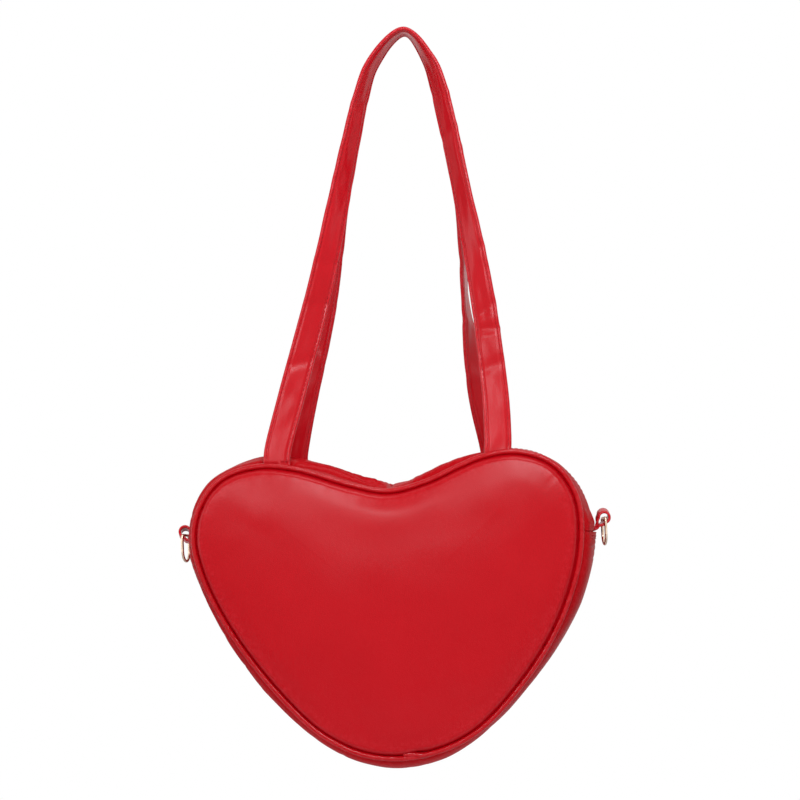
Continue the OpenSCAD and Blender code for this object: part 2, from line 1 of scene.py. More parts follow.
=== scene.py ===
# %% [markdown]
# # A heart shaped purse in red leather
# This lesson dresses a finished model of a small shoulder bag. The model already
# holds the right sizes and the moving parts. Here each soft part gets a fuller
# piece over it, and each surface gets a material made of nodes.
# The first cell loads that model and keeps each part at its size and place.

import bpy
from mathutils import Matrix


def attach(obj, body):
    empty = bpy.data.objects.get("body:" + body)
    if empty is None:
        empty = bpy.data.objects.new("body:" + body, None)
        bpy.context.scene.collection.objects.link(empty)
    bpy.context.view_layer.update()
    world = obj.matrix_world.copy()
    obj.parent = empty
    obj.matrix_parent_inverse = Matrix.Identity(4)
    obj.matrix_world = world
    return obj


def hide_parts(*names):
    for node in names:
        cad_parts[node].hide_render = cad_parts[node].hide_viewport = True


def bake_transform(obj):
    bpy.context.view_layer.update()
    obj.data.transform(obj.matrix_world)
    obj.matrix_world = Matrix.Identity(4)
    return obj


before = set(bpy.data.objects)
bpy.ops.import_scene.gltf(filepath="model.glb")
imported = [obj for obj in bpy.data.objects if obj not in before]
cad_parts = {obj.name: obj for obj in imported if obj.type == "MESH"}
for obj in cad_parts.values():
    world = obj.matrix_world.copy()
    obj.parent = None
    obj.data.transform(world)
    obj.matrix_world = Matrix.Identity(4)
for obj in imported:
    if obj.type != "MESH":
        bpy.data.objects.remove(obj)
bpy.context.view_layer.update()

# %% [markdown]
# The photograph is taken from the front, a little from the right and a little
# from below, and the bag hangs slightly askew in it. The bag stays upright here,
# so the camera is the one that rolls. A long lens far away keeps the sides of the
# straps parallel, as in the picture.

# %% Camera
import bpy
import bmesh
import numpy as np
from math import asin, atan2, cos, pi, radians, sin, sqrt, tan, tau
from mathutils import Quaternion, Vector, noise
from mathutils.bvhtree import BVHTree

scene = bpy.context.scene
scene.view_settings.view_transform = "Standard"
picture_width = 0.557
camera_distance = 2.0
azimuth, elevation, roll = radians(4.5), radians(-3.5), radians(-2.3)
aim = Vector((-0.01385, 0, -0.25536))
backwards = Vector((sin(azimuth) * cos(elevation),
                    -cos(azimuth) * cos(elevation), sin(elevation)))
lens = bpy.data.cameras.new("camera")
lens.sensor_width = 36
lens.lens = lens.sensor_width * camera_distance / picture_width
camera = bpy.data.objects.new("camera", lens)
camera.location = aim + backwards * camera_distance
camera.rotation_mode = "QUATERNION"
camera.rotation_quaternion = (-backwards).to_track_quat("-Z", "Y") @ Quaternion((0, 0, 1), roll)
scene.collection.objects.link(camera)
scene.camera = camera
print("lens", round(lens.lens, 1), "mm")

# %% [markdown]
# ## Tools for nodes
# A material is a small graph. A few helpers keep the graphs short to write: they
# plug in a value, add a node and fill in its sockets, do a sum or stretch a range.

# %% Node helpers
def plug(tree, socket, value):
    """Links a socket to another node's output, or sets it to a plain value."""
    if isinstance(value, bpy.types.NodeSocket):
        tree.links.new(value, socket)
    else:
        socket.default_value = value


def add(tree, kind, **values):
    """Adds a node. Each value is a property, or a socket whose name has _ for spaces."""
    made = tree.nodes.new("ShaderNode" + kind)
    for key, value in values.items():
        if hasattr(made, key):
            setattr(made, key, value)
        else:
            plug(tree, made.inputs[key.replace("_", " ")], value)
    return made


def math_node(tree, operation, a, b, clamp=False):
    made = add(tree, "Math", operation=operation, use_clamp=clamp)
    plug(tree, made.inputs[0], a)
    plug(tree, made.inputs[1], b)
    return made.outputs[0]


def remap(tree, value, low, high, to_low=0.0, to_high=1.0):
    made = add(tree, "MapRange", interpolation_type="SMOOTHSTEP", Value=value)
    for socket, number in zip(made.inputs[1:5], (low, high, to_low, to_high)):
        socket.default_value = number
    return made.outputs[0]


def scale_for(tree, size):
    """The Scale of a texture whose features are that many millimetres wide."""
    return math_node(tree, "DIVIDE", 1000.0, size)


def new_group(name, inputs, outputs):
    """A node group with float inputs {name: default} and float outputs."""
    tree = bpy.data.node_groups.new(name, "ShaderNodeTree")
    for label, default in inputs.items():
        socket = tree.interface.new_socket(label, in_out="INPUT", socket_type="NodeSocketFloat")
        socket.default_value = default
    for label in outputs:
        tree.interface.new_socket(label, in_out="OUTPUT", socket_type="NodeSocketFloat")
    return tree, tree.nodes.new("NodeGroupInput").outputs, tree.nodes.new("NodeGroupOutput").inputs


# %% [markdown]
# ## Effects that several materials share
# Smooth coated leather has a grain of tiny pebbles with fine creases between them.
# A Voronoi texture that measures the distance to its cell borders gives such
# pebbles, and a little noise bends the cells so that no two look alike. It reads
# object coordinates, which are metres here, so one cell size fits every piece.

# %% Grain group
grain, given, out = new_group("leather_grain", {"Pebble size": 0.9, "Fineness": 0.3},
                              ("Height", "Crease"))
where = add(grain, "TexCoord").outputs["Object"]
wander = add(grain, "TexNoise", Vector=where, Scale=420.0, Detail=2.0)
pushed = add(grain, "VectorMath", operation="MULTIPLY_ADD")
for socket, value in zip(pushed.inputs, (wander.outputs["Color"], (0.0011,) * 3, where)):
    plug(grain, socket, value)
pebbles = add(grain, "TexVoronoi", feature="DISTANCE_TO_EDGE", Vector=pushed.outputs[0],
              Scale=scale_for(grain, given["Pebble size"]))
rounded = remap(grain, pebbles.outputs["Distance"], 0.0, 0.28)
fine = add(grain, "TexNoise", Vector=where, Scale=3600.0, Detail=2.0)
plug(grain, out["Height"], math_node(grain, "ADD", rounded, math_node(
    grain, "MULTIPLY", fine.outputs["Fac"], given["Fineness"])))
plug(grain, out["Crease"], math_node(grain, "SUBTRACT", 1.0, rounded))
print("made", grain.name)

# %% [markdown]
# Handling leaves broad, faint patches: the coat is a little duller here and a
# little deeper in colour there. Two slow noises give them, one for each.

# %% Patch group
patches, given, out = new_group("handling_patches", {"Patch size": 60.0}, ("Tone", "Gloss"))
where = add(patches, "TexCoord").outputs["Object"]
scale = scale_for(patches, given["Patch size"])
for label, offset in (("Tone", 0.0), ("Gloss", 4.7)):
    slow = add(patches, "TexNoise", noise_dimensions="4D", Vector=where, Scale=scale,
               Detail=3.0, W=offset)
    plug(patches, out[label], remap(patches, slow.outputs["Fac"], 0.3, 0.7))
print("made", patches.name)

# %% [markdown]
# Edges rub. Each mesh below stores how exposed a point is in an attribute called
# wear, and this group breaks it up with noise, so that only the high spots of an
# edge are rubbed.

# %% Edge wear group
edge_wear, given, out = new_group("edge_wear", {"Amount": 0.5, "Spot size": 3.0}, ("Mask",))
exposed = add(edge_wear, "Attribute", attribute_name="wear").outputs["Fac"]
where = add(edge_wear, "TexCoord").outputs["Object"]
spots = add(edge_wear, "TexNoise", Vector=where, Scale=scale_for(edge_wear, given["Spot size"]),
            Detail=4.0, Roughness=0.65)
rubbed = math_node(edge_wear, "MULTIPLY", exposed,
                   remap(edge_wear, spots.outputs["Fac"], 0.42, 0.68))
plug(edge_wear, out["Mask"],
     math_node(edge_wear, "MULTIPLY", rubbed, given["Amount"], clamp=True))
print("made", edge_wear.name)

# %% [markdown]
# Tape and lining are woven. The meshes carry a map whose unit is one metre of
# cloth, so two waves across each other draw threads of a real width on them.

# %% Weave group
weave, given, out = new_group("weave", {"Thread": 0.5, "Slant": 0.0}, ("Height", "Over"))
split = add(weave, "SeparateXYZ", Vector=add(weave, "TexCoord").outputs["UV"]).outputs
turn = math_node(weave, "DIVIDE", 1000.0 * pi, given["Thread"])
slanted = math_node(weave, "ADD", split["X"], math_node(
    weave, "MULTIPLY", split["Y"], given["Slant"]))
warp, weft = (math_node(weave, "SINE", math_node(weave, "MULTIPLY", across, turn), 0.0)
              for across in (slanted, split["Y"]))
crossing = math_node(weave, "MULTIPLY", warp, weft)
plug(weave, out["Height"], math_node(weave, "ABSOLUTE", crossing, 0.0))
plug(weave, out["Over"], remap(weave, crossing, -0.2, 0.2))
print("made", weave.name)

# %% [markdown]
# ## Leather
# The bag is made of coated leather in one red, but each part shows it differently:
# the padded panels are stretched smooth, the piping is drawn tight and shines, and
# the straps are handled and paler along their edges. The coat is a plastic film, so
# the shine is a soft one, and the creases of the grain are a touch darker.
# Every material here starts as an empty graph and ends in a shader whose surface is
# bumped, so two helpers do that. The others place a group and mix two colours.

# %% Material helpers
def mix_colour(tree, share, first, second):
    made = add(tree, "Mix", data_type="RGBA")
    for place, value in ((0, share), (6, first), (7, second)):
        plug(tree, made.inputs[place], (*value, 1) if isinstance(value, tuple) else value)
    return made.outputs[2]


def use(tree, group, **values):
    """Places a node group in a material, with its own values."""
    made = tree.nodes.new("ShaderNodeGroup")
    made.node_tree = group
    for key, value in values.items():
        made.inputs[key.replace("_", " ")].default_value = value
    return made.outputs


def new_material(name):
    made = bpy.data.materials.new(name)
    made.use_nodes = True
    made.node_tree.nodes.clear()
    return made, made.node_tree


def finish_material(tree, height, strength, depth, **values):
    """The end of each graph: a shader whose surface is bumped by a height."""
    lumps = add(tree, "Bump", Strength=strength, Distance=depth, Height=height)
    shader = add(tree, "BsdfPrincipled", Normal=lumps.outputs[0], **values)
    plug(tree, add(tree, "OutputMaterial").inputs["Surface"], shader.outputs[0])


# %% [markdown]
# One function builds the leather and each part sets its own numbers. Patches and
# creases deepen its tone, rubbed edges pale it, and it is duller where it is seen
# along the surface.

# %% Leather
def leather(name, colour, deep, rubbed, rough, pebble, bump, wear, coat, coat_rough,
            coat_ior, ior):
    """Coated leather. colour is its usual tone, deep the tone in creases and patches."""
    made, tree = new_material(name)
    pebbled = use(tree, grain, Pebble_size=pebble)
    handled = use(tree, patches, Patch_size=70.0)
    worn = use(tree, edge_wear, Amount=wear)["Mask"]
    grazing = add(tree, "LayerWeight", Blend=0.3).outputs["Facing"]
    tone = mix_colour(tree, math_node(tree, "MULTIPLY", handled["Tone"], 0.55), colour, deep)
    tone = mix_colour(tree, math_node(tree, "MULTIPLY", pebbled["Crease"], 0.5), tone, deep)
    tone = mix_colour(tree, worn, tone, rubbed)
    dull = rough - 0.05
    for mask, share in ((handled["Gloss"], 0.1), (worn, 0.12), (grazing, 0.45)):
        dull = math_node(tree, "ADD", dull, math_node(tree, "MULTIPLY", mask, share))
    finish_material(tree, pebbled["Height"], bump, 0.00022, Base_Color=tone, Roughness=dull,
                    IOR=ior, Coat_Weight=coat, Coat_Roughness=coat_rough, Coat_IOR=coat_ior)
    return made


panel_leather = leather(
    "panel_leather", (0.50, 0.002, 0.007), (0.43, 0.001, 0.005), (0.60, 0.02, 0.03),
    rough=0.37, pebble=0.95, bump=0.24, wear=0.3,
    coat=0.76, coat_rough=0.25, coat_ior=1.3, ior=1.04)
side_leather = leather(
    "side_leather", (0.49, 0.002, 0.006), (0.38, 0.001, 0.003), (0.60, 0.02, 0.03),
    rough=0.38, pebble=0.85, bump=0.14, wear=0.4,
    coat=0.2, coat_rough=0.2, coat_ior=1.3, ior=1.07)
piping_leather = leather(
    "piping_leather", (0.50, 0.002, 0.007), (0.40, 0.001, 0.004), (0.64, 0.03, 0.04),
    rough=0.30, pebble=0.6, bump=0.07, wear=0.4,
    coat=0.75, coat_rough=0.11, coat_ior=1.32, ior=1.06)
strap_leather = leather(
    "strap_leather", (0.57, 0.004, 0.011), (0.46, 0.003, 0.007), (0.70, 0.05, 0.07),
    rough=0.32, pebble=0.8, bump=0.14, wear=0.35,
    coat=0.7, coat_rough=0.21, coat_ior=1.32, ior=1.1)
print("leathers:", [m.name for m in bpy.data.materials if "leather" in m.name])

# %% [markdown]
# Thread has no grain of its own at this size, but it is twisted, and the twist
# shows as slanting bands. The map of a stitch runs along it, so a wave on that map
# makes the bands.

# %% Thread
def thread(name, colour, shade):
    made, tree = new_material(name)
    bands = add(tree, "TexWave", Vector=add(tree, "TexCoord").outputs["UV"], Scale=420.0,
                Distortion=0.6, bands_direction="DIAGONAL").outputs["Fac"]
    finish_material(tree, bands, 0.5, 0.0001, Base_Color=mix_colour(tree, bands, shade, colour),
                    Roughness=0.55, Specular_IOR_Level=0.1, Sheen_Weight=0.05)
    return made


red_thread = thread("red_thread", (0.48, 0.012, 0.022), (0.22, 0.004, 0.008))
print("made", red_thread.name)

# %% [markdown]
# The tape of a zip is a tight twill, and the lining of such bags is a plain woven
# cloth. Both take the weave group. Cloth scatters light at its edges, which the
# sheen of the shader gives.

# %% Cloth
def cloth(name, colour, shade, thread_width, slant):
    made, tree = new_material(name)
    woven = use(tree, weave, Thread=thread_width, Slant=slant)
    handled = use(tree, patches, Patch_size=40.0)
    tone = mix_colour(tree, woven["Height"], shade, colour)
    tone = mix_colour(tree, math_node(tree, "MULTIPLY", handled["Tone"], 0.3), tone, shade)
    finish_material(tree, woven["Height"], 0.5, 0.0002, Base_Color=tone,
                    Roughness=remap(tree, woven["Over"], 0.0, 1.0, 0.72, 0.86),
                    Specular_IOR_Level=0.25, Sheen_Weight=0.25, Sheen_Roughness=0.5)
    return made


tape_cloth = cloth("tape_cloth", (0.46, 0.012, 0.018), (0.27, 0.006, 0.010), 0.55, 0.5)
lining_cloth = cloth("lining_cloth", (0.42, 0.35, 0.32), (0.27, 0.22, 0.20), 0.45, 0.0)
print("made", tape_cloth.name, lining_cloth.name)

# %% [markdown]
# The rings, the slider and its pull are plated in a pale, slightly pink gold. A
# metal's base colour is its reflection, so it is light. Plating shows fine
# scratches from wear: noise that is stretched along one direction, and a cloud that
# dulls it where fingers touch.

# %% Metal
def plated(name, colour, dull, rough, scratch):
    made, tree = new_material(name)
    drawn = add(tree, "Mapping", Vector=add(tree, "TexCoord").outputs["Object"],
                Scale=(900, 900, 9000))
    lines = add(tree, "TexNoise", Vector=drawn.outputs[0], Scale=1.0, Detail=3.0)
    handled = use(tree, patches, Patch_size=5.0)
    tone = mix_colour(tree, handled["Tone"], colour, dull)
    roughness = math_node(tree, "ADD", rough,
                          math_node(tree, "MULTIPLY", handled["Gloss"], 0.16))
    finish_material(tree, lines.outputs["Fac"], scratch, 0.00005, Base_Color=tone,
                    Metallic=1.0, Roughness=roughness)
    return made


pale_gold = plated("pale_gold_plate", (0.80, 0.62, 0.47), (0.62, 0.45, 0.33), 0.16, 0.06)
tooth_gold = plated("tooth_gold", (0.74, 0.56, 0.38), (0.50, 0.36, 0.24), 0.26, 0.15)
print("made", pale_gold.name, tooth_gold.name)

# %% [markdown]
# ## The studio
# The object hangs in front of white. That white comes from the world as the camera,
# reflections and see-through things meet it, not from more light, and the world
# fills the shadows with a weaker light of its own.

# %% World
def mix_shader(tree, share, first, second, output):
    """Mixes two shaders and plugs the mix into the graph's output."""
    made = add(tree, "MixShader", Fac=share)
    for socket, shader in zip(made.inputs[1:], (first, second)):
        plug(tree, socket, shader.outputs[0])
    plug(tree, add(tree, output).inputs["Surface"], made.outputs[0])


world = bpy.data.worlds.new("studio")
scene.world = world
world.use_nodes = True
tree = world.node_tree
tree.nodes.clear()
path = add(tree, "LightPath").outputs
seen = math_node(tree, "MAXIMUM", path["Is Camera Ray"], math_node(
    tree, "MAXIMUM", path["Is Glossy Ray"], path["Is Transmission Ray"]))
fill = add(tree, "Background", Color=(0.95, 0.97, 1.0, 1), Strength=0.26)
white = add(tree, "Background", Color=(1, 1, 1, 1), Strength=1.0)
mix_shader(tree, seen, fill, white, "OutputWorld")
print("made", world.name)

# %% [markdown]
# Broad lamps from above and from both sides give the leather its soft sheen. Three
# stand in front: a strong one above for the panel, and two lower ones, further
# left, for the pale haze under the hollow and down the right strap. One lights the
# back and isn't mirrored in the leather.

# %% Lamps
def lamp(name, place, target, width, height, power, mirrored=True):
    data = bpy.data.lights.new(name, "AREA")
    data.shape, data.size, data.size_y, data.energy = "RECTANGLE", width, height, power
    data.color = (0.94, 0.95, 1.0)
    made = bpy.data.objects.new(name, data)
    made.location = place
    made.rotation_mode = "QUATERNION"
    made.rotation_quaternion = (Vector(target) - Vector(place)).to_track_quat("-Z", "Y")
    scene.collection.objects.link(made)
    made.visible_camera = False
    made.visible_glossy = mirrored


bag_middle = (0, 0, -0.38)
lamp("front_box", (0.4, -2.0, 0.6), bag_middle, 1.1, 0.45, 24.5)
lamp("strap_box", (-1.0, -1.95, 0.36), (0, 0, -0.15), 1.2, 0.32, 8.5)
lamp("low_box", (-0.3, -2.0, 0.12), (0, 0, -0.3), 0.7, 0.35, 2.1)
lamp("top_box", (0.35, -0.55, 1.5), bag_middle, 1.2, 0.8, 14)
lamp("right_box", (2.2, -0.6, 0.2), bag_middle, 0.5, 1.2, 2)
lamp("left_box", (-2.2, -0.5, 0.0), bag_middle, 0.5, 1.2, 5)
lamp("back_box", (0.2, 2.4, 0.6), bag_middle, 1.6, 1.4, 14, mirrored=False)
print("lamps:", len(bpy.data.lights))

# %% [markdown]
# The floor lies well below the bag, as it would under a hook. It keeps the shadow,
# and for the camera it fades into the white at its edge.

# %% Floor
FLOOR_R, FLOOR_Z, FLOOR_SIDES = 2.4, -0.80, 64
floor_mesh = bpy.data.meshes.new("floor")
corners = [tau * i / FLOOR_SIDES for i in range(FLOOR_SIDES)]
floor_mesh.from_pydata([(FLOOR_R * cos(a), FLOOR_R * sin(a), FLOOR_Z) for a in corners],
                       [], [list(range(FLOOR_SIDES))])
floor = bpy.data.objects.new("floor", floor_mesh)
scene.collection.objects.link(floor)
floor_paint, tree = new_material("pale_floor")
reach = add(tree, "VectorMath", operation="LENGTH")
plug(tree, reach.inputs[0], add(tree, "TexCoord").outputs["Object"])
far = remap(tree, reach.outputs["Value"], 0.9, 2.1)
matte = add(tree, "BsdfDiffuse", Color=(0.83, 0.83, 0.83, 1))
glow = add(tree, "Emission", Color=(1, 1, 1, 1), Strength=1.0)
faded = math_node(tree, "MULTIPLY", far, add(tree, "LightPath").outputs["Is Camera Ray"])
mix_shader(tree, faded, matte, glow, "OutputMaterial")
floor_mesh.materials.append(floor_paint)
print("floor at", FLOOR_Z, "m")

# %% [markdown]
# ## The outline of the heart
# A heart that a maker can cut is a chain of arcs: a round tip, two long sides, two
# lobes and a hollow between them, each running into the next without a corner. The
# numbers are millimetres, measured on the piping. With the arcs known, any length
# along the seam gives a point and the way out from it, and every band of the bag
# can be built on that.

# %% Outline
LOBE_R, LOBE_X, LOBE_Z = 52.0, 82.0, 153.0
TIP_R, SIDE_R, DIP_R = 95.0, 220.0, 117.0
HANG = np.array([22.0, 0.0, 500.6])    # the point the straps hang on, from the tip

tip_c, lobe_c = np.array([0, TIP_R]), np.array([LOBE_X, LOBE_Z])
between = np.linalg.norm(lobe_c - tip_c)
way = (lobe_c - tip_c) / between
along = ((SIDE_R - TIP_R) ** 2 - (SIDE_R - LOBE_R) ** 2 + between ** 2) / (2 * between)
side_c = tip_c + way * along + np.array([-way[1], way[0]]) * sqrt(
    (SIDE_R - TIP_R) ** 2 - along ** 2)
dip_c = np.array([0, LOBE_Z + sqrt((LOBE_R + DIP_R) ** 2 - LOBE_X ** 2)])


def heading(v):
    return atan2(v[1], v[0])


A_TIP, A_SIDE = heading(tip_c - side_c), heading(lobe_c - side_c)
A_LOBE, A_DIP = heading(dip_c - lobe_c), heading(lobe_c - dip_c)
ARCS = [(tip_c, TIP_R, -pi / 2, A_TIP, 1), (side_c, SIDE_R, A_TIP, A_SIDE, 1),
        (lobe_c, LOBE_R, A_SIDE, A_LOBE, 1), (dip_c, DIP_R, A_DIP, -pi / 2, -1)]
HALF = sum(r * abs(b - a) for _, r, a, b, _ in ARCS)
LOBE_START = sum(r * abs(b - a) for _, r, a, b, _ in ARCS[:2])


def on_heart(s):
    """Places and outward directions at lengths s along the seam, from the tip to the right."""
    s = np.asarray(s, float) % (2 * HALF)
    left = s > HALF
    half = np.where(left, 2 * HALF - s, s)
    place, out = np.zeros(half.shape + (2,)), np.zeros(half.shape + (2,))
    start = 0.0
    for centre, r, a, b, sense in ARCS:
        length = r * abs(b - a)
        here = (half >= start - 1e-6) & (half <= start + length + 1e-6)
        angle = a + (b - a) * np.clip((half - start) / length, 0, 1)
        d = np.stack([np.cos(angle), np.sin(angle)], -1)
        place[here], out[here] = (centre + r * d)[here], (sense * d)[here]
        start += length
    for part in (place, out):
        part[..., 0] *= np.where(left, -1, 1)
    return place, out


def at_lobe(degrees):
    """Length along the seam at an angle round the right lobe."""
    return LOBE_START + LOBE_R * (radians(degrees) - A_SIDE)


END_S = at_lobe(-5.0)    # where the gusset ends and the zip's strips begin
print("seam length", round(2 * HALF), "mm")

# %% [markdown]
# ## Tools for numbers
# Smooth steps, bumps and curves shape everything below. Noise moves things a little
# out of true, and puckers are the small creases that stitching pulls into leather.

# %% Number helpers
def ease(value, low, high):
    """0 below low, 1 above high, and a smooth step between."""
    t = np.clip((value - low) / (high - low), 0, 1)
    return t * t * (3 - 2 * t)


def hill(x, wide):
    """A smooth bump: 1 where x is 0, and gone two widths away."""
    return np.exp(-(x / wide) ** 2)


def curve_point(a, b, c, d, u):
    """The point at u between b and c, on a smooth curve through all four."""
    return 0.5 * (2 * b + (c - a) * u + (2 * a - 5 * b + 4 * c - d) * u ** 2
                  + (3 * b - a - 3 * c + d) * u ** 3)


def paired(a, b):
    return np.stack(np.broadcast_arrays(a, b), -1)


def cloud(points, size, seed=0.0):
    """Slow noise from -1 to 1 at points, with lumps of about that size."""
    flat = np.asarray(points, float).reshape(-1, 3) / size
    values = [noise.noise(Vector((p[0] + seed, p[1] - seed, p[2] + 2 * seed))) for p in flat]
    return np.array(values).reshape(np.asarray(points).shape[:-1])


def puckers(s, edge, seed, spacing, depth, reach):
    """Small creases that start at a seam, edge millimetres away, and fade out."""
    chance = np.random.default_rng(seed)
    total = np.zeros(np.broadcast(s, edge).shape)
    spot = s.min()
    while spot < s.max():
        spot += spacing * chance.uniform(0.5, 1.5)
        lean, wide = chance.uniform(-0.35, 0.35), chance.uniform(0.9, 2.2)
        far, deep = reach * chance.uniform(0.4, 1.3), depth * chance.uniform(0.2, 1.0)
        total -= deep * np.exp(-((s - spot - lean * edge) / wide) ** 2 - (edge / far) ** 2)
    return total


# %% [markdown]
# ## Tools for meshes
# Each part of the bag is drawn as a grid of points, one row for each step along it,
# and the grid becomes quads. The points are millimetres from the tip of the heart,
# and the last step brings them to metres from the point the straps hang on. Each
# piece also gets a map of its surface and, where it matters, how worn a point is.

# %% Mesh helpers
def make_piece(name, points, faces, material, maps, wear=None, body="bag", slot="red_leather",
               stands_for=()):
    mesh = bpy.data.meshes.new(name)
    points = (np.asarray(points, float).reshape(-1, 3) - HANG) / 1000
    mesh.from_pydata(points.tolist(), [], faces)
    work = bmesh.new()
    work.from_mesh(mesh)
    bmesh.ops.recalc_face_normals(work, faces=work.faces)
    layer = work.loops.layers.uv.new("laid")
    maps = np.asarray(maps, float).reshape(-1, 2) / 1000
    for face in work.faces:
        for corner in face.loops:
            corner[layer].uv = maps[corner.vert.index]
    work.to_mesh(mesh)
    work.free()
    mesh.polygons.foreach_set("use_smooth", [True] * len(mesh.polygons))
    if wear is not None:
        kept = mesh.attributes.new("wear", "FLOAT", "POINT")
        kept.data.foreach_set("value", np.asarray(wear, np.float32).ravel())
    mesh.materials.append(material)
    made = bpy.data.objects.new(name, mesh)
    scene.collection.objects.link(made)
    if body:
        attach(made, body)
    if stands_for:
        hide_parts(*stands_for)
    return made


def tube(name, points, material, along, across, wear=None, **given):
    """A piece from a closed grid of points. along and across lay its map on it."""
    maps = paired(along, across)
    if wear is not None:
        wear = np.broadcast_to(wear, maps.shape[:2])
    return make_piece(name, points, grid_faces(*maps.shape[:2]), material, maps, wear, **given)


def grid_faces(rows, columns, caps=True):
    """Quads of a tube of points. Caps close its first and last row."""
    i, j = np.arange(rows - 1)[:, None] * columns, np.arange(columns)[None, :]
    beside = (j + 1) % columns
    quads = np.stack([i + j, i + columns + j, i + columns + beside, i + beside], -1)
    quads = quads.reshape(-1, 4).tolist()
    if caps:
        quads += [list(range(columns)), list(range((rows - 1) * columns, rows * columns))]
    return quads


# %% [markdown]
# Most parts are bands: a section that runs along a seam. Each point of a section
# has two distances, outwards from the seam and forward from the middle of the bag.
# A sewn seam also wanders from the line it was cut to, so the bands read a list of
# how far.

# %% Seam bands
DRIFT = (0.5, 0.5, 1, 1, 0.5, 0.5, 0.5, 0, -1, -3, -1.5, 0.5, 0, -0.5, 1.5, -0.3, -2.4, 0.1,
         0.5, -3, -2.5, 0.5, 1, 1, 0.5, -1, -2.5, -3.5, -3.5, -2.5, -1.5, 0)


def drift(s):
    """How far the sewn seam has wandered outwards from the cut line at lengths s."""
    at = np.asarray(s, float) % (2 * HALF) * len(DRIFT) / (2 * HALF)
    k = np.floor(at).astype(int)
    return curve_point(*(np.take(DRIFT, k + i, mode="wrap") for i in (-1, 0, 1, 2)), at % 1)


def band(s, out, forward):
    """Grid of points at lengths s, with the section's outward and forward distances."""
    place, away = on_heart(s)
    from_hollow = np.abs((np.asarray(s) % (2 * HALF)) - HALF)
    upper = 1 - ease(from_hollow, HALF - END_S - 6, HALF - END_S + 6)
    wandered = drift(s)[:, None] * (1 - upper[:, None] * (1 - ease(np.abs(forward), 13, 27)))
    flat = place[:, None, :] + away[:, None, :] * (out + wandered)[..., None]
    return np.stack([flat[..., 0], -forward + 0 * flat[..., 0], flat[..., 1]], -1)


print("the seam wanders by", min(DRIFT), "to", max(DRIFT), "mm")

# %% [markdown]
# Stitches are real geometry. Each one is a short rounded capsule, half sunk in the
# leather, and a row of them follows a line with the surface's own direction. The
# ends dip, because the thread goes down through its hole.

# %% Stitch maker
STITCH_SHAPE = [(-0.5, 0.25, -0.75), (-0.42, 0.8, -0.3), (-0.2, 1.0, 0.0), (0.2, 1.0, 0.0),
                (0.42, 0.8, -0.3), (0.5, 0.25, -0.75)]    # place along it, fullness, lift


def steps_along(line):
    """How far each point of a line is from its start, measured along it."""
    return np.concatenate([[0], np.cumsum(np.linalg.norm(np.diff(line, axis=0), axis=1))])


def stitch_rows(name, lines, stitch=2.7, pitch=3.5, thick=0.62, rise=0.0, **given):
    """lines holds (points, normals) pairs. Makes one mesh of all the stitches on them."""
    points, faces, maps = [], [], []
    for line, normals in lines:
        length = steps_along(line)
        for middle in np.arange(pitch / 2, length[-1] - pitch / 2, pitch):
            ends = [np.array([np.interp(middle + d, length, line[:, c]) for c in range(3)])
                    for d in (-stitch / 2, stitch / 2)]
            up = np.array([np.interp(middle, length, normals[:, c]) for c in range(3)])
            up /= np.linalg.norm(up)
            forward = (ends[1] - ends[0]) / np.linalg.norm(ends[1] - ends[0])
            side = np.cross(up, forward)
            start = len(points)
            for place, full, lift in STITCH_SHAPE:
                centre = (ends[0] + ends[1]) / 2 + forward * stitch * place
                centre = centre + up * (rise + thick * 0.5 * lift)
                for turn in range(6):
                    angle = tau * turn / 6
                    points.append(centre + thick / 2 * full * (
                        side * cos(angle) + up * sin(angle) * 0.8))
                    maps.append((middle + stitch * place, turn * 0.3))
            faces += [[start + v for v in f] for f in grid_faces(len(STITCH_SHAPE), 6)]
    return make_piece(name, points, faces, red_thread, maps, **given)


# %% [markdown]
# ## Padded panels
# Each face of the bag is a piece of leather over foam, sewn all round into the
# piping. It rises steeply out of the seam, rounds over, and is nearly flat in the
# middle. First a soft cushion of that outline is blown up with cloth simulation, as
# real padding would fill the skin. The leather is then laid over it in rings that
# follow the seam, which keeps its rounded edge crisp where a simulated mesh would
# be blurred.

# %% Panel profile
SEAM_LEVEL, CROWN = 35.4, 12.0           # the seam's distance from the middle, the height
RIM, FOOT_W, SHOULDER_W = 1.6, 0.9, 3.2  # where the skin starts, its flat foot, its steep part
RISE_W, FIELD_W = 38.0, 80.0             # all of its rise, and from there to the middle
SHOULDER, SLOPE, DOME = 0.43, 0.30, 0.32    # shares of the height
JOIN_AT = 13.0                           # where the ends of the piping cross
panel_middle = np.array([0, 98.0])
ring_s = np.linspace(0, 2 * HALF, 300, endpoint=False)
print("each ring of a panel:", len(ring_s), "points")


def near_join(s):
    """1 at the place where the ends of the piping cross, 0 elsewhere."""
    return hill((s - JOIN_AT + HALF) % (2 * HALF) - HALF, 7.0)


